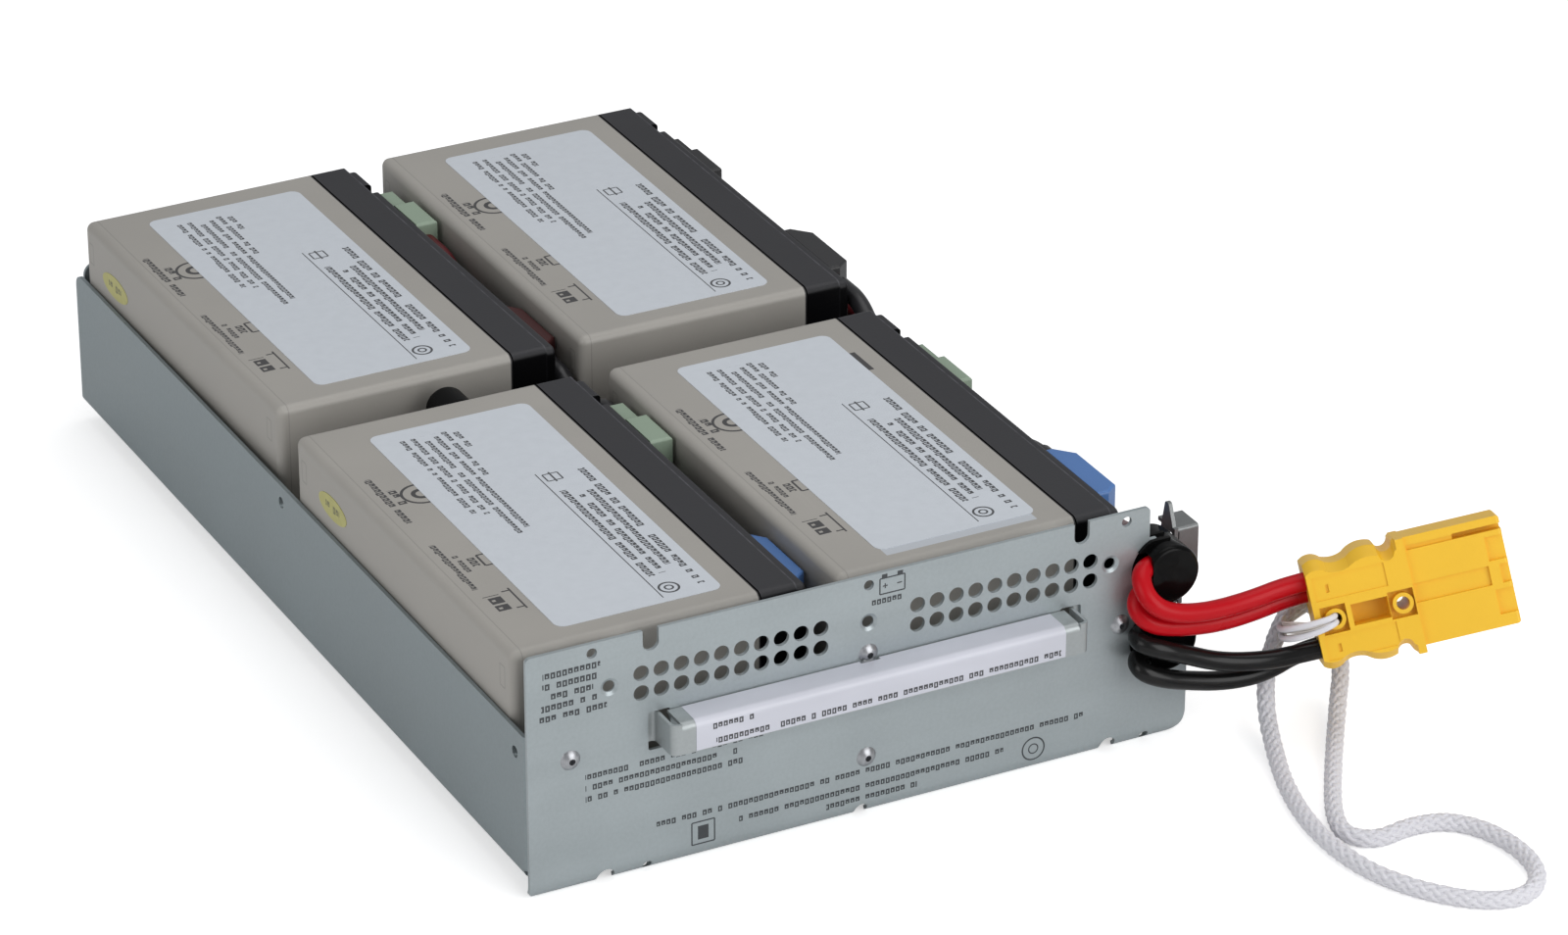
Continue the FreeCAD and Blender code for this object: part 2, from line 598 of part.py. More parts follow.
def make_front_boot(key):
    """Boot over a push-on terminal, sloping down to its wire at the rear end."""
    start, end = FRONT_BOOT
    thickness, depth = BOOTS[key][0]
    boot = boot_block(start, end, thickness, CELL_WIDTH - depth)
    return boot.cut(tab_block(start + TAB_IN_BOOT, 0, TAB_CLEARANCE))


def make_rear_boot(key):
    """Stepped boot: thin rear stage, thicker front stage where the wire enters."""
    start, end = REAR_BOOT
    thickness, depth = BOOTS[key][1]
    base, top = CELL_HEIGHT - VENT_PLATE, CELL_WIDTH - depth
    thick = box(base, base + thickness, start, end - REAR_BOOT_STEP, top - BOOT_HEIGHT, top)
    thin = box(base, base + THIN_STAGE, end - REAR_BOOT_STEP - 1, end, top - BOOT_HEIGHT + 1.5, top - 1.5)
    stages = [round_edges(stage, BOOT_ROUND, lambda m, d: m.x > base + 0.1 and not parallel(d, Z_AXIS))
              for stage in (thick, thin)]
    return stages[0].fuse(stages[1]).cut(tab_block(end - TAB_IN_BOOT, 0, TAB_CLEARANCE))


def make_label(key):
    left, front = LABELS[key]
    width, length = LABEL_SIZE
    sheet = box(left, left + width, front, front + length, CELL_WIDTH, CELL_WIDTH + STICKER)
    return round_edges(sheet, LABEL_CORNER, lambda m, d: parallel(d, Z_AXIS))


def make_oval(key):
    along, up = OVAL_STICKERS[key]
    length, height = OVAL_SIZE
    outline = Part.Ellipse(vec(0, 0, 0), length / 2, height / 2).toShape()
    disc = Part.Face(Part.Wire(outline)).extrude(vec(0, 0, STICKER))
    disc.rotate(vec(0, 0, 0), Z_AXIS, 90)
    disc.rotate(vec(0, 0, 0), Y_AXIS, -90)
    disc.translate(vec(0, along, up))
    return disc


# ---- bushings ----

def hood_bores(z):
    return [(NOTCH_CENTRE_X, z + CABLE_SPREAD), (NOTCH_CENTRE_X, z - CABLE_SPREAD)]


def make_hood(z):
    """Round bushing in the panel's notch, whose capped front sends two cables out to the left."""
    x = NOTCH_CENTRE_X
    body = y_rod(x, z, 2 * HOOD_RADIUS, HOOD_FRONT, HOOD_REAR)
    body = round_edges(body, HOOD_WALL, lambda m, d: m.y < HOOD_FRONT + 0.1)
    cap_side = box(x - 12, x - HOOD_CUT_X, HOOD_FRONT - 1, -0.5, z - 12, z + 12)
    half = CABLE_SPREAD + CABLE / 2 + POCKET_CLEARANCE
    pocket = box(x - 12, x + HOOD_POCKET_RIGHT, HOOD_FRONT + HOOD_WALL, HOOD_POCKET_REAR, z - half, z + half)
    body = body.cut(cap_side).cut(pocket)
    for bore_x, bore_z in hood_bores(z):
        body = body.cut(y_rod(bore_x, bore_z, CABLE + 2 * BORE_CLEARANCE, 0, HOOD_REAR + 1))
    groove = y_rod(x, z, 2 * (NOTCH_RADIUS + HOOD_LIP), -SHEET, 3 * SHEET)
    groove = groove.cut(y_rod(x, z, 2 * HOOD_RADIUS, -SHEET, 3 * SHEET))
    groove = groove.cut(box(x - 12, x + 12, -0.05, 2 * SHEET + 0.05, z - 12, z + 12))
    limit = box(x - 12, x + 12, -5, 5, z - NOTCH_RADIUS + 0.4, z + NOTCH_RADIUS - 0.4)
    left = box(x - 12, x + 2, -5, 5, z - 12, z + 12)
    lips = groove.common(limit).common(left).cut(pocket)
    return body.fuse(lips).removeSplitter()


# ---- side bracket ----

def make_bracket():
    """Folded bracket on the outside of the right wall: ear, top plate and front skirt."""
    x0 = TRAY_WIDTH
    x1 = x0 + SHEET
    tip_y, tip_z = EAR_TIP
    rear_y = BRACKET_FRONT + 2 * BRACKET_DEPTH - 4
    outline = [(BRACKET_FRONT, BRACKET_FOOT), (rear_y, BRACKET_FOOT), (rear_y, 40.0), (tip_y + 3.4, BRACKET_TOP - 4),
               (tip_y + 1.0, tip_z), (tip_y - 1.0, tip_z), (BRACKET_FRONT + 1.2, BRACKET_TOP), (BRACKET_FRONT, BRACKET_TOP)]
    wire = Part.makePolygon([vec(x0, y, z) for y, z in outline + outline[:1]])
    ear = Part.Face(wire).extrude(vec(SHEET, 0, 0))
    ear = round_edges(ear, 0.9, lambda m, d: parallel(d, X_AXIS) and m.z > tip_z - 0.1)
    top = box(x0, BRACKET_RIGHT, BRACKET_FRONT, BRACKET_FRONT + BRACKET_DEPTH, BRACKET_TOP - SHEET, BRACKET_TOP)
    skirt = box(x1 + 0.4, BRACKET_RIGHT, BRACKET_FRONT, BRACKET_FRONT + SHEET,
                BRACKET_TOP - BRACKET_SKIRT, BRACKET_TOP)
    fold = top.fuse(skirt)
    fold = round_edges(fold, SHEET * 0.8, lambda m, d: parallel(d, X_AXIS)
                       and m.y < BRACKET_FRONT + 0.1 and m.z > BRACKET_TOP - 0.1)
    bracket = ear.fuse(fold).removeSplitter()
    y, z = BRACKET_RIVET
    hole = RIVET_SHANK / 2 + RIVET_GAP
    bracket = bracket.cut(rod(hole, vec(x0 - 1, y, z), vec(x1 + 1, y, z)))
    return bracket.cut(rod(1.7, vec(x0 - 1, BRACKET_FRONT + 2.6, BRACKET_TOP - 3.4),
                           vec(x1 + 0.2, BRACKET_FRONT + 2.6, BRACKET_TOP - 3.4)))


def make_bracket_rivet():
    y, z = BRACKET_RIVET
    return pop_rivet(vec(TRAY_WIDTH + SHEET, y, z), -X_AXIS, 2 * SHEET)


# ---- connector ----

def plug_space(shape):
    """Moves a piece from the connector's own axes (length, width up, front) into place."""
    moved = shape.copy()
    moved.Placement = FreeCAD.Placement(vec(*PLUG_PLACE), FreeCAD.Rotation(*PLUG_ANGLES))
    return moved


def plug_point(x, y, z):
    return FreeCAD.Rotation(*PLUG_ANGLES).multVec(vec(x, y, z)) + vec(*PLUG_PLACE)


def grip_outline(z, share):
    """Scalloped outline of the grip at one depth, its width drawn in to the given share."""
    half = PLUG_WIDTH / 2

    def side(sign):
        def at(x, drop):
            return vec(x, sign * (half - drop) * share, z)

        return [
            (at(0, 2.0), at(3.0, 0.8), at(6.5, 2.2)),
            (at(6.5, 2.2), at(10.0, 2.9), at(13.0, 2.2)),
            (at(13.0, 2.2), at(17.5, 0.2), at(22.0, 0.8)),
            (at(22.0, 0.8), at(24.4, 3.2), at(26.8, 0.8)),
            (at(26.8, 0.8), None, at(27.6, 0)),
            (at(27.6, 0), None, at(PLUG_FLANGE, 0)),
        ]

    upper, lower = side(1), side(-1)
    runs = upper + [(upper[-1][2], None, lower[-1][2])]
    runs += [(end, middle, start) for start, middle, end in reversed(lower)]
    runs.append((lower[0][0], None, upper[0][0]))
    edges = []
    for start, middle, end in runs:
        curve = Part.Arc(start, middle, end) if middle else Part.LineSegment(start, end)
        edges.append(curve.toShape())
    return Part.Wire(edges)


def make_plug():
    """Two-pole housing: scalloped grip with bosses and window, and a stepped mating half."""
    front = PLUG_THICKNESS / 2
    back_slab = Part.Face(grip_outline(-front, 1)).extrude(vec(0, 0, PLUG_THICKNESS - PLUG_BEVEL))
    bevel = Part.makeLoft([grip_outline(front - PLUG_BEVEL, 1), grip_outline(front, PLUG_TAPER)], True, True)
    collar = box(PLUG_FLANGE - 2.4, PLUG_FLANGE, -PLUG_WIDTH / 2, PLUG_WIDTH / 2, -front, front)
    body = back_slab.fuse(bevel).fuse(collar)
    mate = box(PLUG_FLANGE - 1, PLUG_LENGTH, MATE_BOTTOM, PLUG_WIDTH / 2, MATE_REAR, MATE_FRONT)
    mate = round_edges(mate, 1.0, lambda m, d: m.x > PLUG_LENGTH - 0.1)
    body = body.fuse(mate).removeSplitter()
    for cut in face_recesses() + end_openings():
        body = body.cut(cut)
    for x in BOSSES_X:
        boss = rod(BOSS_OUTER / 2, vec(x, BOSS_Y, front - POCKET_DEPTH - 0.5), vec(x, BOSS_Y, front - 0.4))
        body = body.fuse(boss)
        body = body.cut(rod(BOSS_HOLE / 2, vec(x, BOSS_Y, -front - 1), vec(x, BOSS_Y, front + 1)))
    return plug_space(body)


def face_recesses():
    """Pockets, window, panels and grooves in the front face."""
    front = PLUG_THICKNESS / 2
    half = POCKET_SIZE / 2
    cuts = []
    for x in BOSSES_X:
        cuts.append(box(x - half, x + half - 0.6, BOSS_Y - half, BOSS_Y + half, front - POCKET_DEPTH, front + 1))
    start, end, height = PLUG_WINDOW
    cuts.append(box(start, end, BOSS_Y - height / 2, BOSS_Y + height / 2, front - 7.5, front + 1))
    for low, high in ((4.6, 11.6), (-13.2, -6.2)):
        cuts.append(box(1.6, 23.0, low, high, front - 0.4, front + 1))
        cuts.append(box(5.0, 6.0, low + 2, high - 2.6, front - 1.0, front))
    step = MATE_FRONT
    cuts.append(box(PLUG_FLANGE + 0.5, PLUG_LENGTH - 14.5, 13.2, 14.6, step - 1.0, step + 1))
    cuts.append(box(PLUG_LENGTH - 14.5, PLUG_LENGTH + 1, 13.2, 14.9, step - 4.5, step + 1))
    cuts.append(box(PLUG_FLANGE, PLUG_LENGTH - 6.0, -2.6, 3.2, step - 1.0, step + 1))
    cuts.append(box(PLUG_LENGTH - 5.5, PLUG_LENGTH + 1, 4.4, 11.6, step - 1.4, step + 1))
    cuts.append(box(PLUG_LENGTH - 2.8, PLUG_LENGTH + 1, -2.6, 3.0, step - 1.4, step + 1))
    cuts.append(box(PLUG_LENGTH - 5.5, PLUG_LENGTH + 1, -11.6, -4.2, step - 1.4, step + 1))
    return cuts


def socket_middles():
    middle = (MATE_BOTTOM + PLUG_WIDTH / 2) / 2
    return middle + SOCKET_SPREAD, middle - SOCKET_SPREAD


def end_openings():
    """Contact chambers in the mating end and cable bores in the other."""
    length, width, thickness = SOCKET
    cuts = []
    for y in socket_middles():
        cuts.append(box(PLUG_LENGTH - length, PLUG_LENGTH + 1, y - width / 2, y + width / 2,
                        -thickness / 2, thickness / 2))
    for y, z in RED_SEATS + BLACK_SEATS:
        cuts.append(rod(CABLE / 2 + BORE_CLEARANCE, vec(-1, y, z), vec(CABLE_SEAT, y, z)))
    return cuts


def make_contacts():
    length, width, thickness = CONTACT
    root = PLUG_LENGTH - SOCKET[0]
    blades = []
    for y in socket_middles():
        blade = box(root, root + length, y - width / 2, y + width / 2, -thickness / 2, thickness / 2)
        blade = round_edges(blade, thickness * 0.4, lambda m, d: m.x > root + length - 0.1 and parallel(d, Y_AXIS))
        blades.append(plug_space(blade))
    return blades


# ---- cables to the connector ----

def cable_route(bushing_z, level, chosen, seat):
    """From the pocket of a bushing, over the chosen points, into the connector."""
    between = [(NOTCH_CENTRE_X + x, y, z) for x, y, z in chosen]
    y, z = seat
    start = (NOTCH_CENTRE_X + HOOD_POCKET_RIGHT, -1.5, bushing_z + level * CABLE_SPREAD)
    lead_in = [tuple(plug_point(-5.0, y, z)), tuple(plug_point(CABLE_SEAT, y, z))]
    return [start] + between + lead_in


# Points of the cables' routes, with x from the bushings' axis.
UPPER_RED = [(-6.4, -2.2, 54.2), (-11.0, -6.0, 52.6), (-10.8, -11.2, 47.6), (-5.2, -13.6, 43.3),
             (7.6, -13.4, 40.5), (23.1, -11.8, 39.8)]
LOWER_RED = [(-7.4, -2.3, 47.4), (-11.8, -4.6, 42.8), (-8.8, -9.0, 38.4), (-0.1, -9.8, 35.8),
             (13.2, -9.4, 33.6), (26.1, -9.0, 34.0)]
UPPER_BLACK = [(-5.9, -2.1, 32.0), (-10.8, -4.3, 32.8), (-11.1, -9.3, 32.5), (-5.8, -11.9, 30.7),
               (1.8, -11.7, 27.2), (13.0, -13.0, 22.4), (26.6, -16.6, 21.2)]
LOWER_BLACK = [(-6.1, -2.2, 25.4), (-10.6, -4.4, 24.7), (-10.6, -8.5, 23.0), (-5.6, -10.1, 20.5),
               (1.6, -10.2, 17.9), (15.6, -11.0, 14.4), (28.3, -13.0, 15.0)]


# ---- pull cord ----

def knot_centre():
    x, y = KNOT_PLACE
    return plug_point(x, y, -PLUG_THICKNESS / 2 - KNOT_RADIUS - 0.2)


def cord_route():
    """A loop of cord: down from the knot, a turn on the floor and up to the knot again."""
    floor = PANEL_BOTTOM + CORD / 2
    down = [(1.7, -3.0, 30.0), (-4.1, -3.8, 21.8), (-8.1, -5.0, 10.5), (-11.7, -11.5, 1.2)]
    loop = [(-17.0, -25), (-25.9, -46.7), (-31.3, -70), (-30.7, -93), (-23.3, -111.5), (-9.8, -126.5),
            (4.7, -129.8), (14.5, -118), (15.2, -100), (8.2, -85.0), (-4.3, -81.0), (-18.1, -84.0),
            (-25.1, -77.5), (-21.8, -66.0), (-12.1, -49.8), (1.2, -29.5)]
    up = [(12.0, -13.5, -1.8), (17.9, -5.5, 5.0), (17.1, -3.5, 15.0)]
    between = down + [(x, y, floor) for x, y in loop] + up
    between = [(PLUG_PLACE[0] + x, y, z) for x, y, z in between]
    return [in_knot(between[0])] + between + [in_knot(between[-1])]


def in_knot(towards):
    """Where a strand that comes from the given point ends inside the knot."""
    centre = knot_centre()
    out = vec(*towards) - centre
    out.normalize()
    return tuple(centre + out * CORD_IN_KNOT)


def make_lashing():
    """Knot behind the connector and two strands through its boss and round its end."""
    hole_x = BOSSES_X[0]
    front = PLUG_THICKNESS / 2 + STRAND
    rear = -PLUG_THICKNESS / 2 - KNOT_RADIUS
    lashing = Part.makeSphere(KNOT_RADIUS, knot_centre())
    for side in (1, -1):
        y = BOSS_Y + side * STRAND_SPREAD
        route = [(hole_x, y, rear), (hole_x, y + side * 0.01, 0), (hole_x, y, front), (-1.0, y + side * 0.5 - 1.0, front),
                 (-7.5, y + side * 0.6 - 1.6, front - 3), (-10.5, y + side * 0.4 - 1.8, front - 10),
                 (-6.5, y + side * 0.3, rear - 0.5), (KNOT_PLACE[0] - 1, KNOT_PLACE[1] + side * 0.5, rear)]
        points = [tuple(plug_point(*p)) for p in route]
        lashing = lashing.fuse(tube(f"lashing strand {side}", points, STRAND))
    return lashing


# ---- inner wiring ----

def on_battery(key, x, y, z):
    """A point given from a battery's corner."""
    corner_x, corner_y, yaw = BATTERIES[key]
    turned = FreeCAD.Rotation(yaw, 0, 0).multVec(vec(x, y, z))
    return (turned.x + corner_x, turned.y + corner_y, turned.z + SHEET + BATTERY_GAP)


def boot_end(key, rear, y):
    """Level with the middle of a battery's front or rear boot, at a place along the battery."""
    thickness, depth = BOOTS[key][rear]
    return on_battery(key, CELL_HEIGHT - VENT_PLATE + thickness / 2, y, CELL_WIDTH - depth - BOOT_HEIGHT / 2)


def bore_end(bushing_z, level):
    """Last two points of a lead, straight into the rear of a bushing."""
    z = bushing_z + level * CABLE_SPREAD
    return [(NOTCH_CENTRE_X, HOOD_REAR + 6.0, z), (NOTCH_CENTRE_X, HOOD_POCKET_REAR, z)]


def fuse_middle_y():
    corner_y = BATTERIES["fl"][1]
    return corner_y + CELL_LENGTH + FUSE_GAP + FUSE_LENGTH / 2


def make_fuse_holder():
    x, z = FUSE_CENTRE
    middle = fuse_middle_y()
    holder = y_rod(x, z, FUSE_DIAMETER, middle - FUSE_LENGTH / 2, middle + FUSE_LENGTH / 2)
    holder = round_edges(holder, 1.5, lambda m, d: True)
    for side in (1, -1):
        boss_x = x + side * 3.2
        boss = rod(CABLE / 2 + 0.8, vec(boss_x, middle, z), vec(boss_x, middle, z - FUSE_DIAMETER / 2 - 2))
        holder = holder.fuse(boss)
    return holder.removeSplitter()


def fuse_exit(side):
    x, z = FUSE_CENTRE
    return (x + side * 3.2, fuse_middle_y(), z - FUSE_DIAMETER / 2 - 2)


def from_boot(key, rear, y, reach):
    """End of a wire in a boot and the next point, straight out along the battery."""
    return [boot_end(key, rear, y), boot_end(key, rear, y + reach)]


def into_boot(key, rear, y, reach):
    return from_boot(key, rear, y, reach)[::-1]


def from_fuse(side, reach):
    x, y, z = fuse_exit(side)
    return [(x, y, z), (x, y, z - reach)]


def near(base_x, base_y, *points):
    """Points of a wire given from one line of the tray across and one along."""
    return [(base_x + x, base_y + y, z) for x, y, z in points]


def inner_wires():
    """Name and route of every wire inside the tray."""
    front_end, rear_end = FRONT_BOOT[1], REAR_BOOT[0]
    right = TRAY_WIDTH
    return {
        "fuse_wire_front": from_fuse(1, 10) + near(LEFT, ROW, (64.3, 6.4, 32), (82.3, 6.2, 33))
        + near(MIDDLE, ROW, (-6.2, 5.3, 41)) + into_boot("fl", 1, REAR_BOOT[1], 12),
        "fuse_wire_rear": from_fuse(-1, 12) + near(LEFT, ROW, (56.3, 11.4, 26), (82.3, 11.2, 22))
        + near(MIDDLE, ROW, (-2.7, 13.2, 30)) + into_boot("rl", 0, FRONT_BOOT[0], -11),
        "link_wire_right": from_boot("fr", 1, REAR_BOOT[1], 12) + near(right, ROW, (-11.5, 9.8, 51.4))
        + into_boot("rr", 0, FRONT_BOOT[0], -12),
        "lead_left_front": from_boot("fl", 0, front_end, 18)
        + near(MIDDLE, ROW, (-4.8, -67.2, 43), (-4.1, -42.2, 35), (-3.8, -16.2, 31.5), (-0.6, -0.6, 30),
               (12.4, 5.2, 31), (36.4, 4.0, 33), (64.4, 3.4, 33))
        + near(right, ROW, (-21.6, 4.0, 33), (-9.2, -2.8, 32.6), (-5.2, -18.2, 33))
        + near(right, 0, (-5.0, 110, 33), (-5.0, 70, 33), (-5.6, 30, 32.2))
        + bore_end(LOWER_NOTCH_Z, 1),
        "lead_left_rear": from_boot("rl", 1, rear_end, -16)
        + near(MIDDLE, ROW, (-3.5, 87.8, 40), (-2.7, 63.8, 32), (-2.4, 35.8, 27), (-2.8, 17.8, 23.5),
               (6.4, 10.6, 21.5), (34.4, 10.0, 20.5), (64.4, 9.4, 21))
        + near(right, ROW, (-22.6, 10.2, 27), (-9.0, 6.3, 38.2), (-5.0, -9.2, 40.2))
        + near(right, 0, (-4.9, 120, 39.6), (-4.9, 70, 39.6), (-5.0, 31, 40.5))
        + bore_end(UPPER_NOTCH_Z, -1),
        "lead_right_front": from_boot("fr", 0, front_end, 17)
        + near(right, 0, (-11.8, 89, 48), (-11.5, 94.5, 38), (-11.5, 88, 28), (-11.0, 74, 24.4),
               (-9.6, 46, 24.9))
        + bore_end(LOWER_NOTCH_Z, -1),
        "lead_right_rear": from_boot("rr", 1, rear_end, -14)
        + near(right, ROW, (-6.4, 93.8, REAR_LEAD_Z + 4.2), (-4.9, 66, REAR_LEAD_Z + 0.2),
               (-4.8, 35.8, REAR_LEAD_Z))
        + near(right, 0, (-4.9, 150, REAR_LEAD_Z + 0.2), (-4.9, 90, REAR_LEAD_Z + 0.1), (-4.3, 33, 46.6))
        + bore_end(UPPER_NOTCH_Z, 1),
    }


# ---- assembly ----

def add(name, shape, cord=False):
    """Keeps a piece, or a group of like pieces, under its node's name."""
    nodes[name] = Part.makeCompound(shape) if isinstance(shape, list) else shape
    if cord:
        cord_nodes.append(name)


def build():
    add("tray", make_tray())
    add("front_panel", make_panel())
    add("handle", make_handle())
    wrap_top = box(HANDLE_LABEL_LEFT, HANDLE_LABEL_RIGHT, -HANDLE_REACH + 2.4, -0.6, HANDLE_TOP, HANDLE_TOP + STICKER)
    add("handle_label", wrap_top.fuse(handle_wrap()).removeSplitter().cut(rivet_relief()))
    add("panel_rivets", make_panel_rivets())
    for key in BATTERIES:
        add(f"battery_case_{key}", placed(make_case(), key))
        add(f"battery_cover_{key}", placed(make_cover(), key))
        add(f"battery_label_{key}", placed(make_label(key), key))
        add(f"terminals_{key}", [placed(tab, key) for tab in make_tabs()])
        add(f"front_boot_{key}", placed(make_front_boot(key), key))
        add(f"rear_boot_{key}", placed(make_rear_boot(key), key))
    for key in OVAL_STICKERS:
        add(f"date_sticker_{key}", placed(make_oval(key), key))
    add("upper_bushing", make_hood(UPPER_NOTCH_Z))
    add("lower_bushing", make_hood(LOWER_NOTCH_Z))
    add("side_bracket", make_bracket())
    add("bracket_rivet", make_bracket_rivet())
    add("fuse_holder", make_fuse_holder())
    for name, route in inner_wires().items():
        add(name, tube(name, route, CABLE))
    routes = {
        "red_cable_upper": cable_route(UPPER_NOTCH_Z, 1, UPPER_RED, RED_SEATS[0]),
        "red_cable_lower": cable_route(UPPER_NOTCH_Z, -1, LOWER_RED, RED_SEATS[1]),
        "black_cable_upper": cable_route(LOWER_NOTCH_Z, 1, UPPER_BLACK, BLACK_SEATS[0]),
        "black_cable_lower": cable_route(LOWER_NOTCH_Z, -1, LOWER_BLACK, BLACK_SEATS[1]),
    }
    for name, route in routes.items():
        add(name, tube(name, route, CABLE), cord=True)
    add("connector_housing", make_plug(), cord=True)
    add("connector_contacts", make_contacts(), cord=True)
    add("pull_cord", tube("pull_cord", cord_route(), CORD), cord=True)
    add("cord_lashing", make_lashing(), cord=True)


def handle_wrap():
    """The part of the handle's label that goes over the bend and down the front."""
    outer = HANDLE_BEND + HANDLE_SHEET

    def place(u, v):
        return (HANDLE_LABEL_LEFT, u, v)

    points = [(-HANDLE_REACH + 2.6, HANDLE_TOP + STICKER), (-HANDLE_REACH - STICKER, HANDLE_TOP + STICKER),
              (-HANDLE_REACH - STICKER, HANDLE_BOTTOM + 0.3)]
    return folded(points, place, vec(HANDLE_LABEL_RIGHT - HANDLE_LABEL_LEFT, 0, 0), STICKER, outer)


def export():
    """Moves everything so that the origin is under the middle, and writes one STEP per node."""
    whole = FreeCAD.BoundBox()
    for name, shape in nodes.items():
        if name not in cord_nodes:
            whole.add(shape.BoundBox)
    shift = vec(-whole.Center.x, -whole.Center.y, -whole.ZMin)
    print("shift", tuple(round(value, 4) for value in shift))
    os.makedirs("parts", exist_ok=True)
    for name, shape in nodes.items():
        shape.translate(shift)
        shape.exportStep(f"parts/{name}.step")
        print(name, "solids", len(shape.Solids), "valid", shape.isValid())


build()
export()
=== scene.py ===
"""Battery cartridge of a rack power supply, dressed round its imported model. Metres, +Z up."""

import math

import bpy
from mathutils import Euler, Matrix, Vector


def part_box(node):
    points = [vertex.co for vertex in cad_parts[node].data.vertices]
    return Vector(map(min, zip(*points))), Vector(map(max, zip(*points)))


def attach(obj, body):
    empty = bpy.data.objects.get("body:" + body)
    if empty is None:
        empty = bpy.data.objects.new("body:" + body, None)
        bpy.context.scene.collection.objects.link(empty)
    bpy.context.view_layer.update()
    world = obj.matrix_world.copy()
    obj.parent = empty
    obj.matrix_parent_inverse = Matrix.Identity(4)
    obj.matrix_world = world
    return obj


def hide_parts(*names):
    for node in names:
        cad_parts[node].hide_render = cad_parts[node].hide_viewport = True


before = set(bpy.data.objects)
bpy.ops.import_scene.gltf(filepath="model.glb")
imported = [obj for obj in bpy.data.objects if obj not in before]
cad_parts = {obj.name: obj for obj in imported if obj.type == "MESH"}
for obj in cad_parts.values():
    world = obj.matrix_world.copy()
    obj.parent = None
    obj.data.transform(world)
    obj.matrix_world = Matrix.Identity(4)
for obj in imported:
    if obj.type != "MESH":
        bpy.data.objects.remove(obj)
scene = bpy.context.scene
scene.view_settings.view_transform = "Standard"
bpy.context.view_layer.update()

# ---- Where things are ----
# The cartridge is set out from the lower left corner of its front panel, at the tray's floor.
# The panel's curled lip hangs below that floor and is the lowest thing on the cartridge.
LIP_DROP = 0.0061
panel_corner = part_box("front_panel")[0]
ORIGIN = Vector((panel_corner.x, panel_corner.y, panel_corner.z + LIP_DROP))


def place(*point):
    """A point given from the panel's corner, in metres."""
    return ORIGIN + Vector(point)


def pick_none():
    bpy.ops.object.select_all(action="DESELECT")


# ---- Camera ----
# A long lens, high and to the left of the front panel, so the left wall, the panel and the
# battery tops are all seen.
EYE = (-0.63418, -1.38781, 0.91753)
LOOK = Vector((0.40675, 0.79020, -0.45841))
LENS = 145.26
SENSOR = 36.0
NEAREST, FARTHEST = 0.1, 30.0
bpy.ops.object.camera_add(location=place(*EYE))
camera = bpy.context.object
camera.name = "camera"
camera.rotation_euler = LOOK.to_track_quat("-Z", "Y").to_euler()
camera.data.lens = LENS
camera.data.sensor_width = SENSOR
camera.data.clip_start = NEAREST
camera.data.clip_end = FARTHEST
scene.camera = camera

# ---- Floor and lamps ----
# A white floor, a large soft lamp in front, weaker ones above and at the left, and pale light all
# round. Only the camera sees the floor's glow and the pure white behind it.
FLOOR_SIZE = 14.0
FLOOR_WHITE = (0.93, 0.93, 0.93, 1.0)
FLOOR_GLOW = 0.55
ROOM_TINT = (0.97, 0.98, 1.0, 1.0)
ROOM_LIGHT = 0.36
LAMP_AIM = Vector((0.0, 0.0, 0.03))
LAMPS = {                    # place, size and watts
    "lamp_front": ((0.55, -1.5, 0.75), 1.3, 13.5),
    "lamp_above": ((0.35, 0.1, 1.7), 1.5, 8.0),
    "lamp_left": ((-1.5, -0.5, 0.8), 1.0, 5.5),
}


def shader_tree(material):
    """Empties a material's nodes and returns its tree with a fresh output."""
    material.use_nodes = True
    tree = material.node_tree
    tree.nodes.clear()
    return tree, tree.nodes.new("ShaderNodeOutputMaterial")


pick_none()
bpy.ops.mesh.primitive_plane_add(size=FLOOR_SIZE, location=(0, 0, 0))
floor = bpy.context.object
floor.name = "floor"
floor_material = bpy.data.materials.new("floor_white")
tree, output = shader_tree(floor_material)
diffuse = tree.nodes.new("ShaderNodeBsdfDiffuse")
diffuse.inputs["Color"].default_value = FLOOR_WHITE
glow = tree.nodes.new("ShaderNodeEmission")
glow.inputs["Color"].default_value = FLOOR_WHITE
glow.inputs["Strength"].default_value = FLOOR_GLOW
both = tree.nodes.new("ShaderNodeAddShader")
tree.links.new(diffuse.outputs[0], both.inputs[0])
tree.links.new(glow.outputs[0], both.inputs[1])
rays = tree.nodes.new("ShaderNodeLightPath")
seen = tree.nodes.new("ShaderNodeMixShader")
tree.links.new(rays.outputs["Is Camera Ray"], seen.inputs[0])
tree.links.new(diffuse.outputs[0], seen.inputs[1])
tree.links.new(both.outputs[0], seen.inputs[2])
tree.links.new(seen.outputs[0], output.inputs["Surface"])
floor.data.materials.append(floor_material)

world = bpy.data.worlds.new("studio")
scene.world = world
world.use_nodes = True
tree = world.node_tree
tree.nodes.clear()
output = tree.nodes.new("ShaderNodeOutputWorld")
around = tree.nodes.new("ShaderNodeBackground")
around.inputs["Color"].default_value = ROOM_TINT
around.inputs["Strength"].default_value = ROOM_LIGHT
white = tree.nodes.new("ShaderNodeBackground")
white.inputs["Color"].default_value = (1.0, 1.0, 1.0, 1.0)
white.inputs["Strength"].default_value = 1.0
rays = tree.nodes.new("ShaderNodeLightPath")
shown = tree.nodes.new("ShaderNodeMixShader")
tree.links.new(rays.outputs["Is Camera Ray"], shown.inputs[0])
tree.links.new(around.outputs[0], shown.inputs[1])
tree.links.new(white.outputs[0], shown.inputs[2])
tree.links.new(shown.outputs[0], output.inputs["Surface"])

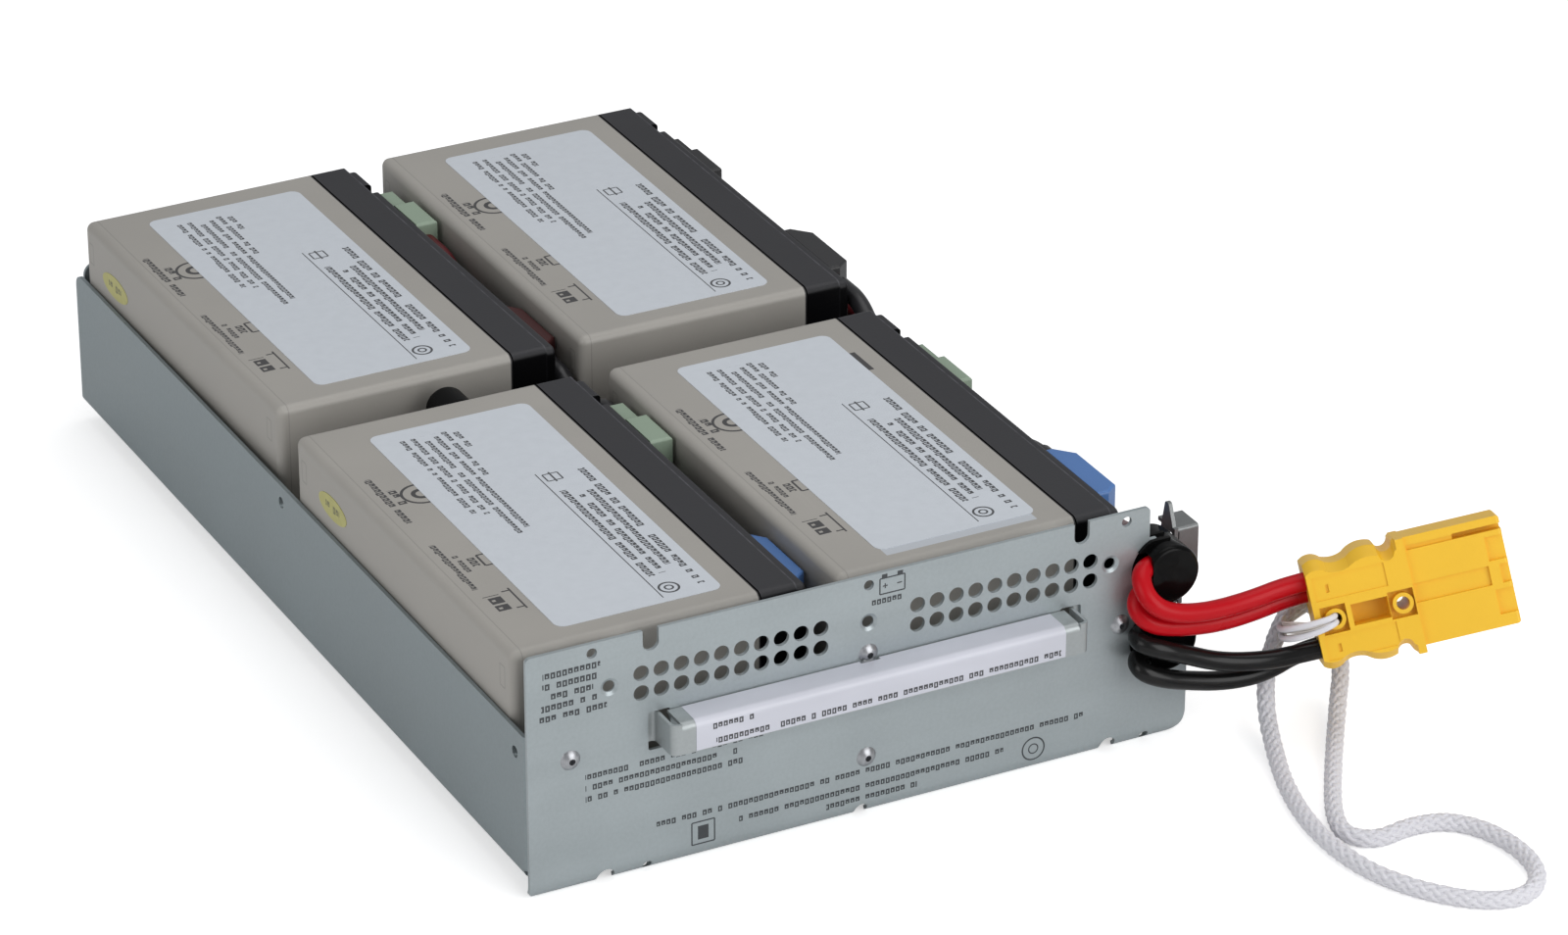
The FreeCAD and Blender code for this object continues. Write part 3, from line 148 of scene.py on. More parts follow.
for lamp_name, (spot, size, watts) in LAMPS.items():
    bpy.ops.object.light_add(type="AREA", location=spot)
    lamp = bpy.context.object
    lamp.name = lamp_name
    lamp.data.size = size
    lamp.data.energy = watts
    lamp.rotation_euler = (LAMP_AIM - Vector(spot)).to_track_quat("-Z", "Y").to_euler()


# ---- Finishes ----
# The parts that every finish is put together from.
def feed(tree, sockets, values):
    """Sets each number on its socket, and links what isn't a number to it."""
    for socket, value in zip(sockets, values):
        if isinstance(value, (int, float)):
            socket.default_value = value
        else:
            tree.links.new(value, socket)


def calc(tree, operation, *values):
    """One Math node, worked out from numbers and sockets."""
    node = tree.nodes.new("ShaderNodeMath")
    node.operation = operation
    feed(tree, node.inputs, values)
    return node.outputs[0]


def new_group(name, inputs, outputs):
    """An empty shader group with its sockets: (tree, input node, output node)."""
    group = bpy.data.node_groups.new(name, "ShaderNodeTree")
    for label, kind, value in inputs:
        socket = group.interface.new_socket(label, in_out="INPUT", socket_type=kind)
        if value is not None:
            socket.default_value = value
    for label, kind in outputs:
        group.interface.new_socket(label, in_out="OUTPUT", socket_type=kind)
    return group, group.nodes.new("NodeGroupInput"), group.nodes.new("NodeGroupOutput")


def noise(tree, vector, scale, detail=3.0, roughness=0.55):
    """Soft random cloud, from 0 to 1."""
    node = tree.nodes.new("ShaderNodeTexNoise")
    node.inputs["Scale"].default_value = scale
    node.inputs["Detail"].default_value = detail
    node.inputs["Roughness"].default_value = roughness
    tree.links.new(vector, node.inputs["Vector"])
    return node.outputs["Fac"]


def stretched(tree, vector, scale):
    """The same coordinates, drawn out along the axes by the scale's inverse."""
    node = tree.nodes.new("ShaderNodeMapping")
    node.inputs["Scale"].default_value = scale
    tree.links.new(vector, node.inputs["Vector"])
    return node.outputs["Vector"]


def spread(tree, value, low, high, low_out, high_out):
    """Maps the stretch from low to high onto another one, and stops at its ends."""
    node = tree.nodes.new("ShaderNodeMapRange")
    ends = zip(("From Min", "From Max", "To Min", "To Max"), (low, high, low_out, high_out))
    for label, number in ends:
        node.inputs[label].default_value = number
    tree.links.new(value, node.inputs["Value"])
    return node.outputs["Result"]


def split(tree, vector):
    """A vector's X, Y and Z."""
    node = tree.nodes.new("ShaderNodeSeparateXYZ")
    tree.links.new(vector, node.inputs[0])
    return node.outputs


NOISE_SPAN = (0.3, 0.7)      # where nearly all of a noise's values lie


def ranged(tree, value, low, high):
    """A noise's values, spread from low to high."""
    return spread(tree, value, *NOISE_SPAN, low, high)


def swing(tree, vector, scale, detail):
    """Noise that swings between -1 and 1."""
    return ranged(tree, noise(tree, vector, scale, detail), -1.0, 1.0)


def weighed(tree, *pairs):
    """The sum of values, each times its weight."""
    total = calc(tree, "MULTIPLY", *pairs[0])
    for value, weight in pairs[1:]:
        total = calc(tree, "ADD", total, calc(tree, "MULTIPLY", value, weight))
    return total


def place_group(tree, group, vector, **values):
    """A group placed in a material, with its own values on the sockets."""
    node = tree.nodes.new("ShaderNodeGroup")
    node.node_tree = group
    tree.links.new(vector, node.inputs["Vector"])
    for label, value in values.items():
        node.inputs[label.replace("_", " ")].default_value = value
    return node


def new_surface(name, rough, metallic=0.0, specular=0.5):
    """A material with one Principled shader: (material, tree, shader, Object coordinates)."""
    material = bpy.data.materials.new(name)
    tree, output = shader_tree(material)
    shader = tree.nodes.new("ShaderNodeBsdfPrincipled")
    shader.inputs["Roughness"].default_value = rough
    shader.inputs["Metallic"].default_value = metallic
    shader.inputs["Specular IOR Level"].default_value = specular
    tree.links.new(shader.outputs[0], output.inputs["Surface"])
    coordinates = tree.nodes.new("ShaderNodeTexCoord").outputs["Object"]
    return material, tree, shader, coordinates


def shaded(tree, colour, shade):
    """A colour made lighter and darker by a value near 1."""
    node = tree.nodes.new("ShaderNodeVectorMath")
    node.operation = "SCALE"
    if isinstance(colour, tuple):
        node.inputs[0].default_value = colour[:3]
    else:
        tree.links.new(colour, node.inputs[0])
    tree.links.new(shade, node.inputs["Scale"])
    return node.outputs[0]


def bumped(tree, shader, height, depth, strength=1.0):
    """Turns a height into fine relief, so many metres deep."""
    node = tree.nodes.new("ShaderNodeBump")
    node.inputs["Distance"].default_value = depth
    node.inputs["Strength"].default_value = strength
    tree.links.new(height, node.inputs["Height"])
    tree.links.new(node.outputs["Normal"], shader.inputs["Normal"])


def dress(node, material):
    """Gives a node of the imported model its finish."""
    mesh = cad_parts[node].data
    mesh.materials.clear()
    mesh.materials.append(material)
    for face in mesh.polygons:
        face.material_index = 0


# ---- Zinc-coated steel ----
# The coating has a soft mottle, fine specks and rolling lines.
# Each skin puts out a shade near 1, what it adds to the roughness, and a height for the relief.
SKIN_OUTPUTS = [("Shade", "NodeSocketFloat"), ("Rough", "NodeSocketFloat"), ("Height", "NodeSocketFloat")]
zinc, inner, outer = new_group(
    "zinc_coat",
    [("Vector", "NodeSocketVector", None), ("Line Stretch", "NodeSocketVector", (1.0, 1.0, 1.0))],
    SKIN_OUTPUTS)
vector = inner.outputs["Vector"]
cloud = swing(zinc, vector, 26.0, 4.0)
speck = swing(zinc, vector, 900.0, 2.0)
line_map = zinc.nodes.new("ShaderNodeVectorMath")
line_map.operation = "MULTIPLY"
zinc.links.new(vector, line_map.inputs[0])
zinc.links.new(inner.outputs["Line Stretch"], line_map.inputs[1])
lines = swing(zinc, line_map.outputs[0], 120.0, 3.0)
shade = weighed(zinc, (cloud, 0.045), (speck, 0.03), (lines, 0.025))
zinc.links.new(calc(zinc, "ADD", shade, 1.0), outer.inputs["Shade"])
zinc.links.new(weighed(zinc, (cloud, 0.05), (lines, 0.03)), outer.inputs["Rough"])
zinc.links.new(calc(zinc, "ADD", calc(zinc, "MULTIPLY", speck, 0.4), lines), outer.inputs["Height"])

ZINC_METALLIC = 0.55
ZINC_RELIEF = 0.00004


def zinc_steel(name, colour, rough, line_stretch):
    """Zinc-coated steel whose rolling lines are drawn out along the axes of small stretch."""
    material, tree, shader, at = new_surface(name, rough, metallic=ZINC_METALLIC)
    coat = place_group(tree, zinc, at, Line_Stretch=line_stretch)
    tree.links.new(shaded(tree, colour, coat.outputs["Shade"]), shader.inputs["Base Color"])
    tree.links.new(calc(tree, "ADD", coat.outputs["Rough"], rough), shader.inputs["Roughness"])
    bumped(tree, shader, coat.outputs["Height"], ZINC_RELIEF, 0.5)
    return material, tree, shader, at


# ---- Steel tray ----
# One piece of sheet, bent up at the left, right and rear, with flanges behind the panel.
TRAY_COLOUR = (0.285, 0.330, 0.345)
dress("tray", zinc_steel("tray_steel", TRAY_COLOUR, 0.42, (1.0, 0.06, 0.4))[0])

# ---- Printing ----
# Print on the panel, labels and cases is only rows of small blocks, plain bars, rings and
# frames, so nothing on the cartridge can be read.
# The print's dark ink, also used for the painted shadow at the cases' seam.
INK_AND_PAINTED_SHADE = (0.028, 0.028, 0.032, 1.0)
BLOCK_STEP = 0.86            # from block to block, in row heights
BLOCK_GAP = 0.2              # the part of each step that stays bare
BLANKS = 0.14                # the share of blocks left out, as gaps between words
BLOCK_SHORTEST = 0.66        # in row heights
HOLLOW = (0.58, 0.11)        # middle and half width of a block's bare middle, in steps
HOLLOW_HEIGHTS = (0.06, 0.26)


def mask_group(name, **values):
    """An empty group that puts out a mask: (tree, its sockets, X, Y, the mask's socket)."""
    inputs = [("Vector", "NodeSocketVector", None)]
    inputs += [(label.replace("_", " "), "NodeSocketFloat", value) for label, value in values.items()]
    group, inner, outer = new_group(name, inputs, [("Mask", "NodeSocketFloat")])
    axes = split(group, inner.outputs["Vector"])
    return group, inner.outputs, axes[0], axes[1], outer.inputs["Mask"]


def all_of(tree, *masks):
    """1 where every mask is 1."""
    product = masks[0]
    for mask in masks[1:]:
        product = calc(tree, "MULTIPLY", product, mask)
    return product


rows_group, given, along, up, mask_socket = mask_group(
    "printed_rows", Left=0.0, Right=10.0, Top=0.0, Rows=1.0, Pitch=3.5, Height=2.4, Ragged=0.2,
    Centred=0.0, Seed=0.0)
below = calc(rows_group, "SUBTRACT", given["Top"], up)
row = calc(rows_group, "FLOOR", calc(rows_group, "DIVIDE", below, given["Pitch"]))
within = calc(rows_group, "SUBTRACT", below, calc(rows_group, "MULTIPLY", row, given["Pitch"]))
row_key = calc(rows_group, "ADD", row, given["Seed"])


def chance(tree, x, y):
    """A fixed random number for each pair of whole numbers."""
    pair = tree.nodes.new("ShaderNodeCombineXYZ")
    feed(tree, pair.inputs, (x, y))
    white_noise = tree.nodes.new("ShaderNodeTexWhiteNoise")
    white_noise.noise_dimensions = "2D"
    tree.links.new(pair.outputs[0], white_noise.inputs["Vector"])
    return white_noise.outputs["Value"]


ROW_KEY_COLUMN = 91.0        # the column whose random number sets how much shorter a row is
short = all_of(rows_group, calc(rows_group, "SUBTRACT", given["Right"], given["Left"]), given["Ragged"],
               chance(rows_group, ROW_KEY_COLUMN, row_key))
left = calc(rows_group, "ADD", given["Left"], calc(rows_group, "MULTIPLY", short, given["Centred"]))
right = calc(rows_group, "SUBTRACT", given["Right"],
             calc(rows_group, "MULTIPLY", short, calc(rows_group, "SUBTRACT", 1.0, given["Centred"])))
column = calc(rows_group, "DIVIDE", along, calc(rows_group, "MULTIPLY", given["Height"], BLOCK_STEP))
cell = calc(rows_group, "FLOOR", column)
across = calc(rows_group, "SUBTRACT", column, cell)
kind = chance(rows_group, cell, row_key)
tall = calc(rows_group, "MULTIPLY", given["Height"], spread(rows_group, kind, 0.0, 1.0, BLOCK_SHORTEST, 1.0))
middle = calc(rows_group, "MULTIPLY", given["Height"], 0.5)
bare_height = calc(rows_group, "MULTIPLY", given["Height"],
                   spread(rows_group, kind, 0.0, 1.0, *HOLLOW_HEIGHTS))
hollow = all_of(rows_group, calc(rows_group, "COMPARE", across, *HOLLOW),
                calc(rows_group, "COMPARE", within, middle, bare_height))
mask = all_of(rows_group, calc(rows_group, "SUBTRACT", 1.0, hollow),
              calc(rows_group, "GREATER_THAN", below, 0.0),
              calc(rows_group, "LESS_THAN", row, given["Rows"]),
              calc(rows_group, "LESS_THAN", within, tall),
              calc(rows_group, "GREATER_THAN", along, left),
              calc(rows_group, "LESS_THAN", along, right),
              calc(rows_group, "GREATER_THAN", across, BLOCK_GAP),
              calc(rows_group, "GREATER_THAN", kind, BLANKS))
rows_group.links.new(mask, mask_socket)

bar_group, given, along, up, mask_socket = mask_group(
    "printed_bar", X=0.0, Y=0.0, Half_Width=1.0, Half_Height=1.0)
mask = all_of(bar_group, calc(bar_group, "COMPARE", along, given["X"], given["Half Width"]),
              calc(bar_group, "COMPARE", up, given["Y"], given["Half Height"]))
bar_group.links.new(mask, mask_socket)

ring_group, given, along, up, mask_socket = mask_group(
    "printed_ring", X=0.0, Y=0.0, Radius=3.0, Half_Line=0.3)
squares = [calc(ring_group, "POWER", calc(ring_group, "SUBTRACT", axis, given[label]), 2.0)
           for axis, label in ((along, "X"), (up, "Y"))]
away = calc(ring_group, "SQRT", calc(ring_group, "ADD", *squares))
ring_group.links.new(calc(ring_group, "COMPARE", away, given["Radius"], given["Half Line"]), mask_socket)


ROW_FIELDS = ("Left", "Right", "Top", "Rows", "Pitch", "Height", "Ragged", "Centred", "Seed")
BAR_FIELDS = ("X", "Y", "Half_Width", "Half_Height")
RING_FIELDS = ("X", "Y", "Radius", "Half_Line")


def printed(tree, at, rows=(), bars=(), rings=()):
    """Adds up the print of one surface, given in millimetres in the order of the fields above."""
    masks = [place_group(tree, rows_group, at, **dict(zip(ROW_FIELDS, row))) for row in rows]
    masks += [place_group(tree, bar_group, at, **dict(zip(BAR_FIELDS, bar))) for bar in bars]
    masks += [place_group(tree, ring_group, at, **dict(zip(RING_FIELDS, ring))) for ring in rings]
    total = masks[0].outputs[0]
    for mask in masks[1:]:
        total = calc(tree, "MAXIMUM", total, mask.outputs[0])
    return total


def outline_bars(x, y, half_width, half_height, half_line):
    """A rectangular frame as four thin bars."""
    return [(x, y + half_height, half_width, half_line), (x, y - half_height, half_width, half_line),
            (x - half_width, y, half_line, half_height), (x + half_width, y, half_line, half_height)]


def ink_or_painted_shade(tree, shader, base, mask, strength=0.85, ink=INK_AND_PAINTED_SHADE):
    """Lays ink, or painted shade in the ink's colour, over the surface's own colour where the mask is 1."""
    mix = tree.nodes.new("ShaderNodeMix")
    mix.data_type = "RGBA"
    tree.links.new(calc(tree, "MULTIPLY", mask, strength), mix.inputs["Factor"])
    if isinstance(base, tuple):
        mix.inputs["A"].default_value = base
    else:
        tree.links.new(base, mix.inputs["A"])
    mix.inputs["B"].default_value = ink
    tree.links.new(mix.outputs["Result"], shader.inputs["Base Color"])


FACING_FRONT = (-math.pi / 2, 0.0, 0.0)
FACING_LEFT = (-math.pi / 2, math.pi / 2, 0.0)


def flat_print(tree, at, turn, corner):
    """Coordinates in millimetres on a flat face, turned so that X runs along the print."""
    node = tree.nodes.new("ShaderNodeMapping")
    turn = Euler(turn)
    node.inputs["Scale"].default_value = (1000.0, 1000.0, 1000.0)
    node.inputs["Rotation"].default_value = turn
    node.inputs["Location"].default_value = -(turn.to_matrix() @ (corner * 1000.0))
    tree.links.new(at, node.inputs["Vector"])
    return node.outputs["Vector"]


# ---- Front panel ----
# Zinc-coated sheet with two fields of round holes, screw holes and a curled lower lip.
# Notes are silk-screened in dark ink round the handle.
PANEL_COLOUR = (0.395, 0.440, 0.455)
panel_steel, tree, shader, at = zinc_steel("panel_steel", PANEL_COLOUR, 0.40, (0.08, 1.0, 1.0))
base = shader.inputs["Base Color"].links[0].from_socket
on_panel = flat_print(tree, at, FACING_FRONT, ORIGIN)
PANEL_ROWS = [
    (3.0, 25.0, 65.7, 5, 3.37, 2.1, 0.45, 0.5, 3.0),
    (107.6, 121.0, 63.4, 1, 3.4, 1.9, 0.0, 0.5, 8.0),
    (17.7, 95.5, 30.4, 3, 3.55, 1.9, 0.45, 0.0, 21.0),
    (39.7, 178.3, 9.3, 1, 3.4, 1.9, 0.0, 0.5, 33.0),
    (65.8, 151.7, 4.2, 1, 3.4, 1.9, 0.0, 0.5, 41.0),
    (93.8, 123.3, 0.5, 1, 3.4, 1.9, 0.0, 0.5, 47.0),
]
PANEL_BARS = (outline_bars(114.7, 67.2, 4.0, 2.5, 0.22) + outline_bars(54.4, 2.2, 3.6, 3.6, 0.22)
              + [(112.2, 70.4, 0.9, 0.6), (117.2, 70.4, 0.9, 0.6), (112.4, 67.2, 0.8, 0.2),
                 (112.4, 67.2, 0.2, 0.8), (117.0, 67.2, 0.8, 0.2), (54.4, 2.2, 1.7, 2.2)])
PANEL_RINGS = [(161.7, 1.2, 3.6, 0.25), (161.7, 1.2, 1.5, 0.2)]
ink_or_painted_shade(tree, shader, base, printed(tree, on_panel, PANEL_ROWS, PANEL_BARS, PANEL_RINGS), 0.88)
dress("front_panel", panel_steel)

# ---- Handle ----
# A flat strip of the same steel, bent into a shallow bow that passes through two windows.
# A white paper label goes over its front and folds back over its upper edge.
HANDLE_COLOUR = (0.400, 0.430, 0.435)
PAPER_WHITE = (0.620, 0.630, 0.700)
dress("handle", zinc_steel("handle_steel", HANDLE_COLOUR, 0.42, (0.08, 1.0, 1.0))[0])
paper_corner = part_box("handle_label")[0]
handle_paper, tree, shader, at = new_surface("handle_paper", 0.38)
shader.inputs["Coat Weight"].default_value = 0.25
on_label = flat_print(tree, at, FACING_FRONT, paper_corner)
crease = noise(tree, stretched(tree, at, (0.35, 1.0, 1.0)), 60.0, 2.0)
# Painted light and shade: the paper is painted 0.92 to 1.06 times as light along with its crease relief.
white_with_painted_crease_shade = shaded(tree, PAPER_WHITE, ranged(tree, crease, 0.92, 1.06))
HANDLE_ROWS = [(5.0, 20.6, 7.4, 1, 3.0, 1.9, 0.0, 0.0, 2.0), (6.2, 117.0, 2.6, 1, 3.0, 1.9, 0.0, 0.0, 9.0)]
ink_or_painted_shade(tree, shader, white_with_painted_crease_shade, printed(tree, on_label, HANDLE_ROWS), 0.95)
bumped(tree, shader, crease, 0.0004, 0.5)
dress("handle_label", handle_paper)

# ---- Rivets ----
# Hollow aluminium pop rivets with a low round head, slightly scuffed.
RIVET_COLOUR = (0.44, 0.45, 0.47)
rivet_metal, tree, shader, at = new_surface("rivet_metal", 0.34, metallic=0.9)
scuff = noise(tree, at, 700.0, 3.0)
tree.links.new(shaded(tree, RIVET_COLOUR, ranged(tree, scuff, 0.8, 1.1)), shader.inputs["Base Color"])
tree.links.new(ranged(tree, scuff, 0.28, 0.42), shader.inputs["Roughness"])
dress("panel_rivets", rivet_metal)
dress("bracket_rivet", rivet_metal)

# ---- Moulded plastic ----
# A faint grain, soft smudges and rubbed streaks.
moulded, inner, outer = new_group("moulded_plastic", [("Vector", "NodeSocketVector", None)], SKIN_OUTPUTS)
vector = inner.outputs["Vector"]
grain = noise(moulded, vector, 1500.0, 2.0)
smudge = swing(moulded, vector, 22.0, 4.0)
streak = noise(moulded, stretched(moulded, vector, (1.0, 0.08, 1.0)), 160.0, 3.0)
rub = spread(moulded, streak, 0.66, 0.8, 0.0, 1.0)
shade = weighed(moulded, (smudge, 0.035), (rub, 0.05))
moulded.links.new(calc(moulded, "ADD", shade, 1.0), outer.inputs["Shade"])
moulded.links.new(calc(moulded, "MULTIPLY", smudge, 0.06), outer.inputs["Rough"])
moulded.links.new(grain, outer.inputs["Height"])


def plastic(name, colour, rough, depth=0.00003, specular=0.5):
    """Moulded plastic with a faint grain, smudges and rubbed streaks."""
    material, tree, shader, at = new_surface(name, rough, specular=specular)
    skin = place_group(tree, moulded, at)
    tree.links.new(shaded(tree, colour, skin.outputs["Shade"]), shader.inputs["Base Color"])
    tree.links.new(calc(tree, "ADD", skin.outputs["Rough"], rough), shader.inputs["Roughness"])
    bumped(tree, shader, skin.outputs["Height"], depth, 0.6)
    return material, tree, shader, at


# ---- Batteries ----
# Four sealed lead-acid blocks. Each has a grey-beige moulded case, a dark cover welded on its
# right side, a pale label with rows of print, and more print on the bare case beside it.
KEYS = ("fl", "fr", "rl", "rr")
LABEL_WIDTH = 0.0520
LABEL_LENGTH = 0.1315
BATTERY_YAWS = {"fl": 0.0, "fr": 0.0, "rl": 0.75, "rr": 0.0}
# Millimetres from a battery's left face: its label, moulded ridge, seam and the cover's shoulder.
LABEL_LEFTS = {"fl": 18.2, "fr": 17.6, "rl": 17.0, "rr": 17.5}
RIDGE = 3.6
CASE_HEIGHT = 78.2
SHOULDER = 89.5
SEAM_SHADOW = 0.9
LINE_HALF = 0.16
LINE_DEPTH = 0.22            # how much darker the moulded lines are
SHOULDER_HIGHLIGHT_HALF = 0.3
LEFT_FACE = 0.3              # still counts as the left face
TOP_FACE = 0.0005            # metres under a label that still count as the upper face
CASE_COLOUR = (0.385, 0.368, 0.338)
COVER_COLOUR = (0.027, 0.027, 0.031)
COVER_SPECULAR = 0.4
LABEL_COLOUR = (0.640, 0.680, 0.730)


def label_axes(tree, at, key):
    """Millimetres on a battery's top from its label's rear left corner: X to front, Y to cover."""
    low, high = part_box(f"battery_label_{key}")
    turn = (0.0, 0.0, math.pi / 2 - math.radians(BATTERY_YAWS[key]))
    half = Matrix.Rotation(-turn[2], 3, "Z") @ Vector((LABEL_LENGTH / 2, LABEL_WIDTH / 2, 0.0))
    return flat_print(tree, at, turn, (low + high) / 2 - half)


LABEL_ROWS = [
    (46.5, 126.0, 48.9, 1, 3.6, 2.3, 0.0, 0.5, 5.0), (60.0, 111.5, 45.3, 1, 3.6, 2.3, 0.0, 0.5, 11.0),
    (56.0, 117.0, 41.7, 2, 3.6, 2.3, 0.1, 0.5, 17.0),
    (5.2, 18.8, 25.8, 1, 3.4, 1.9, 0.0, 0.0, 23.0), (6.5, 37.5, 22.5, 1, 3.4, 1.9, 0.0, 0.0, 29.0),
    (6.5, 78.0, 19.2, 4, 3.4, 1.9, 0.35, 0.0, 31.0),
]
LABEL_BARS = [(86.5, 34.2, 42.5, 0.18), (47.6, 38.2, 3.2, 0.3)] + outline_bars(47.6, 38.2, 2.2, 2.4, 0.25)
LABEL_RINGS = [(124.2, 38.3, 2.9, 0.35), (124.2, 38.3, 1.2, 0.3)]
CASE_ROWS = [
    (24.5, 54.8, -9.9, 1, 3.4, 2.4, 0.0, 0.5, 51.0), (33.6, 45.4, -6.2, 1, 3.4, 2.8, 0.0, 0.5, 57.0),
    (70.3, 100.4, -10.1, 1, 3.0, 2.0, 0.0, 0.5, 63.0), (78.6, 91.4, -7.1, 1, 3.0, 1.8, 0.0, 0.5, 71.0),
    (82.3, 87.5, -3.3, 1, 3.4, 2.5, 0.0, 0.5, 77.0), (105.6, 115.2, -6.3, 1, 6.5, 5.6, 0.0, 0.5, 83.0),
]
CASE_BARS = ([(110.0, -2.4, 6.6, 0.3), (104.8, -3.8, 0.3, 1.2), (115.2, -3.8, 0.3, 1.2)]
             + outline_bars(85.0, -0.6, 3.4, 1.6, 0.35))
CASE_RINGS = [(39.5, -0.2, 5.9, 0.45), (39.5, -0.2, 2.4, 0.7)]
SIDE_MARKS = outline_bars(145.0, -9.5, 1.6, 3.4, 0.25) + outline_bars(6.0, -9.5, 1.6, 3.4, 0.25)
# The front right battery's label lies over an older one, whose mark and front edge still show.
OLD_LABEL_BATTERY = "fr"
OLD_LABEL_MARK = (21.0, 53.0, 6.5, 1.0)
OLD_LABEL_EDGE = (133.0, 25.6, 2.0, 24.6)
OLD_LABEL_COLOUR = (0.520, 0.550, 0.590, 1.0)

for key in KEYS:
    old_label = key == OLD_LABEL_BATTERY
    label_left = LABEL_LEFTS[key]
    case_plastic, tree, shader, at = plastic(f"case_plastic_{key}", CASE_COLOUR, 0.46)
    base = shader.inputs["Base Color"].links[0].from_socket
    on_top = label_axes(tree, at, key)
    from_label = split(tree, on_top)[1]
    bars = CASE_BARS + ([OLD_LABEL_MARK] if old_label else [])
    print_mask = printed(tree, on_top, CASE_ROWS, bars, CASE_RINGS)
    top_only = calc(tree, "GREATER_THAN", split(tree, at)[2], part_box(f"battery_label_{key}")[0].z - TOP_FACE)
    left_only = calc(tree, "LESS_THAN", from_label, LEFT_FACE - label_left)
    case_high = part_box(f"battery_case_{key}")[1]
    on_side = flat_print(tree, at, FACING_LEFT, Vector((0.0, case_high.y, case_high.z)))
    moulding = calc(tree, "MULTIPLY", printed(tree, on_side, bars=SIDE_MARKS), left_only)
    ridge = calc(tree, "COMPARE", from_label, RIDGE - label_left, LINE_HALF)
    moulding = calc(tree, "MULTIPLY", calc(tree, "MAXIMUM", ridge, moulding), LINE_DEPTH)
    base = shaded(tree, base, calc(tree, "SUBTRACT", 1.0, moulding))
    # Painted shadow: from 0.9 mm before the seam with the cover, the case is painted the ink's dark colour, as
    # shade in the seam's groove.
    painted_seam_shadow = calc(tree, "GREATER_THAN", from_label, CASE_HEIGHT - label_left - SEAM_SHADOW)
    ink_or_painted_shade(tree, shader, base, calc(tree, "MAXIMUM", calc(tree, "MULTIPLY", print_mask, top_only), painted_seam_shadow), 0.92)
    if old_label:
        under = shader.inputs["Base Color"].links[0].from_socket
        layer = calc(tree, "MULTIPLY", printed(tree, on_top, bars=[OLD_LABEL_EDGE]), top_only)
        ink_or_painted_shade(tree, shader, under, layer, 1.0, OLD_LABEL_COLOUR)
    dress(f"battery_case_{key}", case_plastic)

    cover_plastic, tree, shader, at = plastic(
        f"cover_plastic_{key}", COVER_COLOUR, 0.46, 0.00004, specular=COVER_SPECULAR)
    # Painted shade: faces that don't look up are painted down to 0.12 of the colour and reflect less, as shade
    # on the cover's sides and ends.
    normal = tree.nodes.new("ShaderNodeNewGeometry").outputs["Normal"]
    painted_side_shade = spread(tree, split(tree, normal)[2], 0.2, 0.8, 0.12, 1.0)
    # Painted highlight: a thin, uneven line along the cover's shoulder step is painted 1.5 to 3.2 times as
    # light.
    shoulder = calc(tree, "COMPARE", split(tree, label_axes(tree, at, key))[1], SHOULDER - label_left,
                    SHOULDER_HIGHLIGHT_HALF)
    painted_shoulder_highlight = calc(tree, "MULTIPLY", shoulder, spread(tree, noise(tree, at, 300.0), 0.35, 0.65, 0.5, 2.2))
    shade = calc(tree, "MULTIPLY", painted_side_shade, calc(tree, "ADD", painted_shoulder_highlight, 1.0))
    base = shader.inputs["Base Color"].links[0].from_socket
    tree.links.new(shaded(tree, base, shade), shader.inputs["Base Color"])
    tree.links.new(calc(tree, "MULTIPLY", painted_side_shade, COVER_SPECULAR), shader.inputs["Specular IOR Level"])
    dress(f"battery_cover_{key}", cover_plastic)

    label_paper, tree, shader, at = new_surface(f"label_paper_{key}", 0.36)
    pale = shaded(tree, LABEL_COLOUR, ranged(tree, noise(tree, at, 260.0, 3.0), 0.98, 1.02))
    print_mask = printed(tree, label_axes(tree, at, key), LABEL_ROWS, LABEL_BARS, LABEL_RINGS)
    ink_or_painted_shade(tree, shader, pale, print_mask, 0.93)
    dress(f"battery_label_{key}", label_paper)

# ---- Date stickers ----
# Small oval yellow stickers on the left faces of the two left batteries.
STICKER_YELLOW = (0.480, 0.455, 0.150)
STICKER_ROWS = [(-5.0, 5.0, 1.2, 1, 3.0, 2.4, 0.0, 0.5, 4.0)]
for key in ("fl", "rl"):
    low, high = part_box(f"date_sticker_{key}")
    middle = (low + high) / 2
    sticker, tree, shader, at = new_surface(f"sticker_yellow_{key}", 0.4)
    on_oval = flat_print(tree, at, FACING_LEFT, Vector((0.0, middle.y, middle.z)))
    yellow = shaded(tree, STICKER_YELLOW, ranged(tree, noise(tree, at, 400.0, 2.0), 0.95, 1.05))
    ink_or_painted_shade(tree, shader, yellow, printed(tree, on_oval, STICKER_ROWS), 0.7)
    dress(f"date_sticker_{key}", sticker)

# ---- Terminals and boots ----
# Tin-plated tabs under soft moulded boots, pale green on the rear pole and blue on the front. The
# boots on the rear batteries' hidden poles are dark: painted shade, near black on the rear right
# battery and a shaded dark red on the front pole of the rear left one.
TIN = (0.66, 0.64, 0.60)
tab_metal, tree, shader, at = new_surface("tab_metal", 0.3, metallic=0.95)
tree.links.new(shaded(tree, TIN, ranged(tree, noise(tree, at, 500.0), 0.9, 1.1)), shader.inputs["Base Color"])
boot_green = plastic("boot_green", (0.290, 0.375, 0.285), 0.45)[0]
boot_blue = plastic("boot_blue", (0.085, 0.200, 0.480), 0.42)[0]
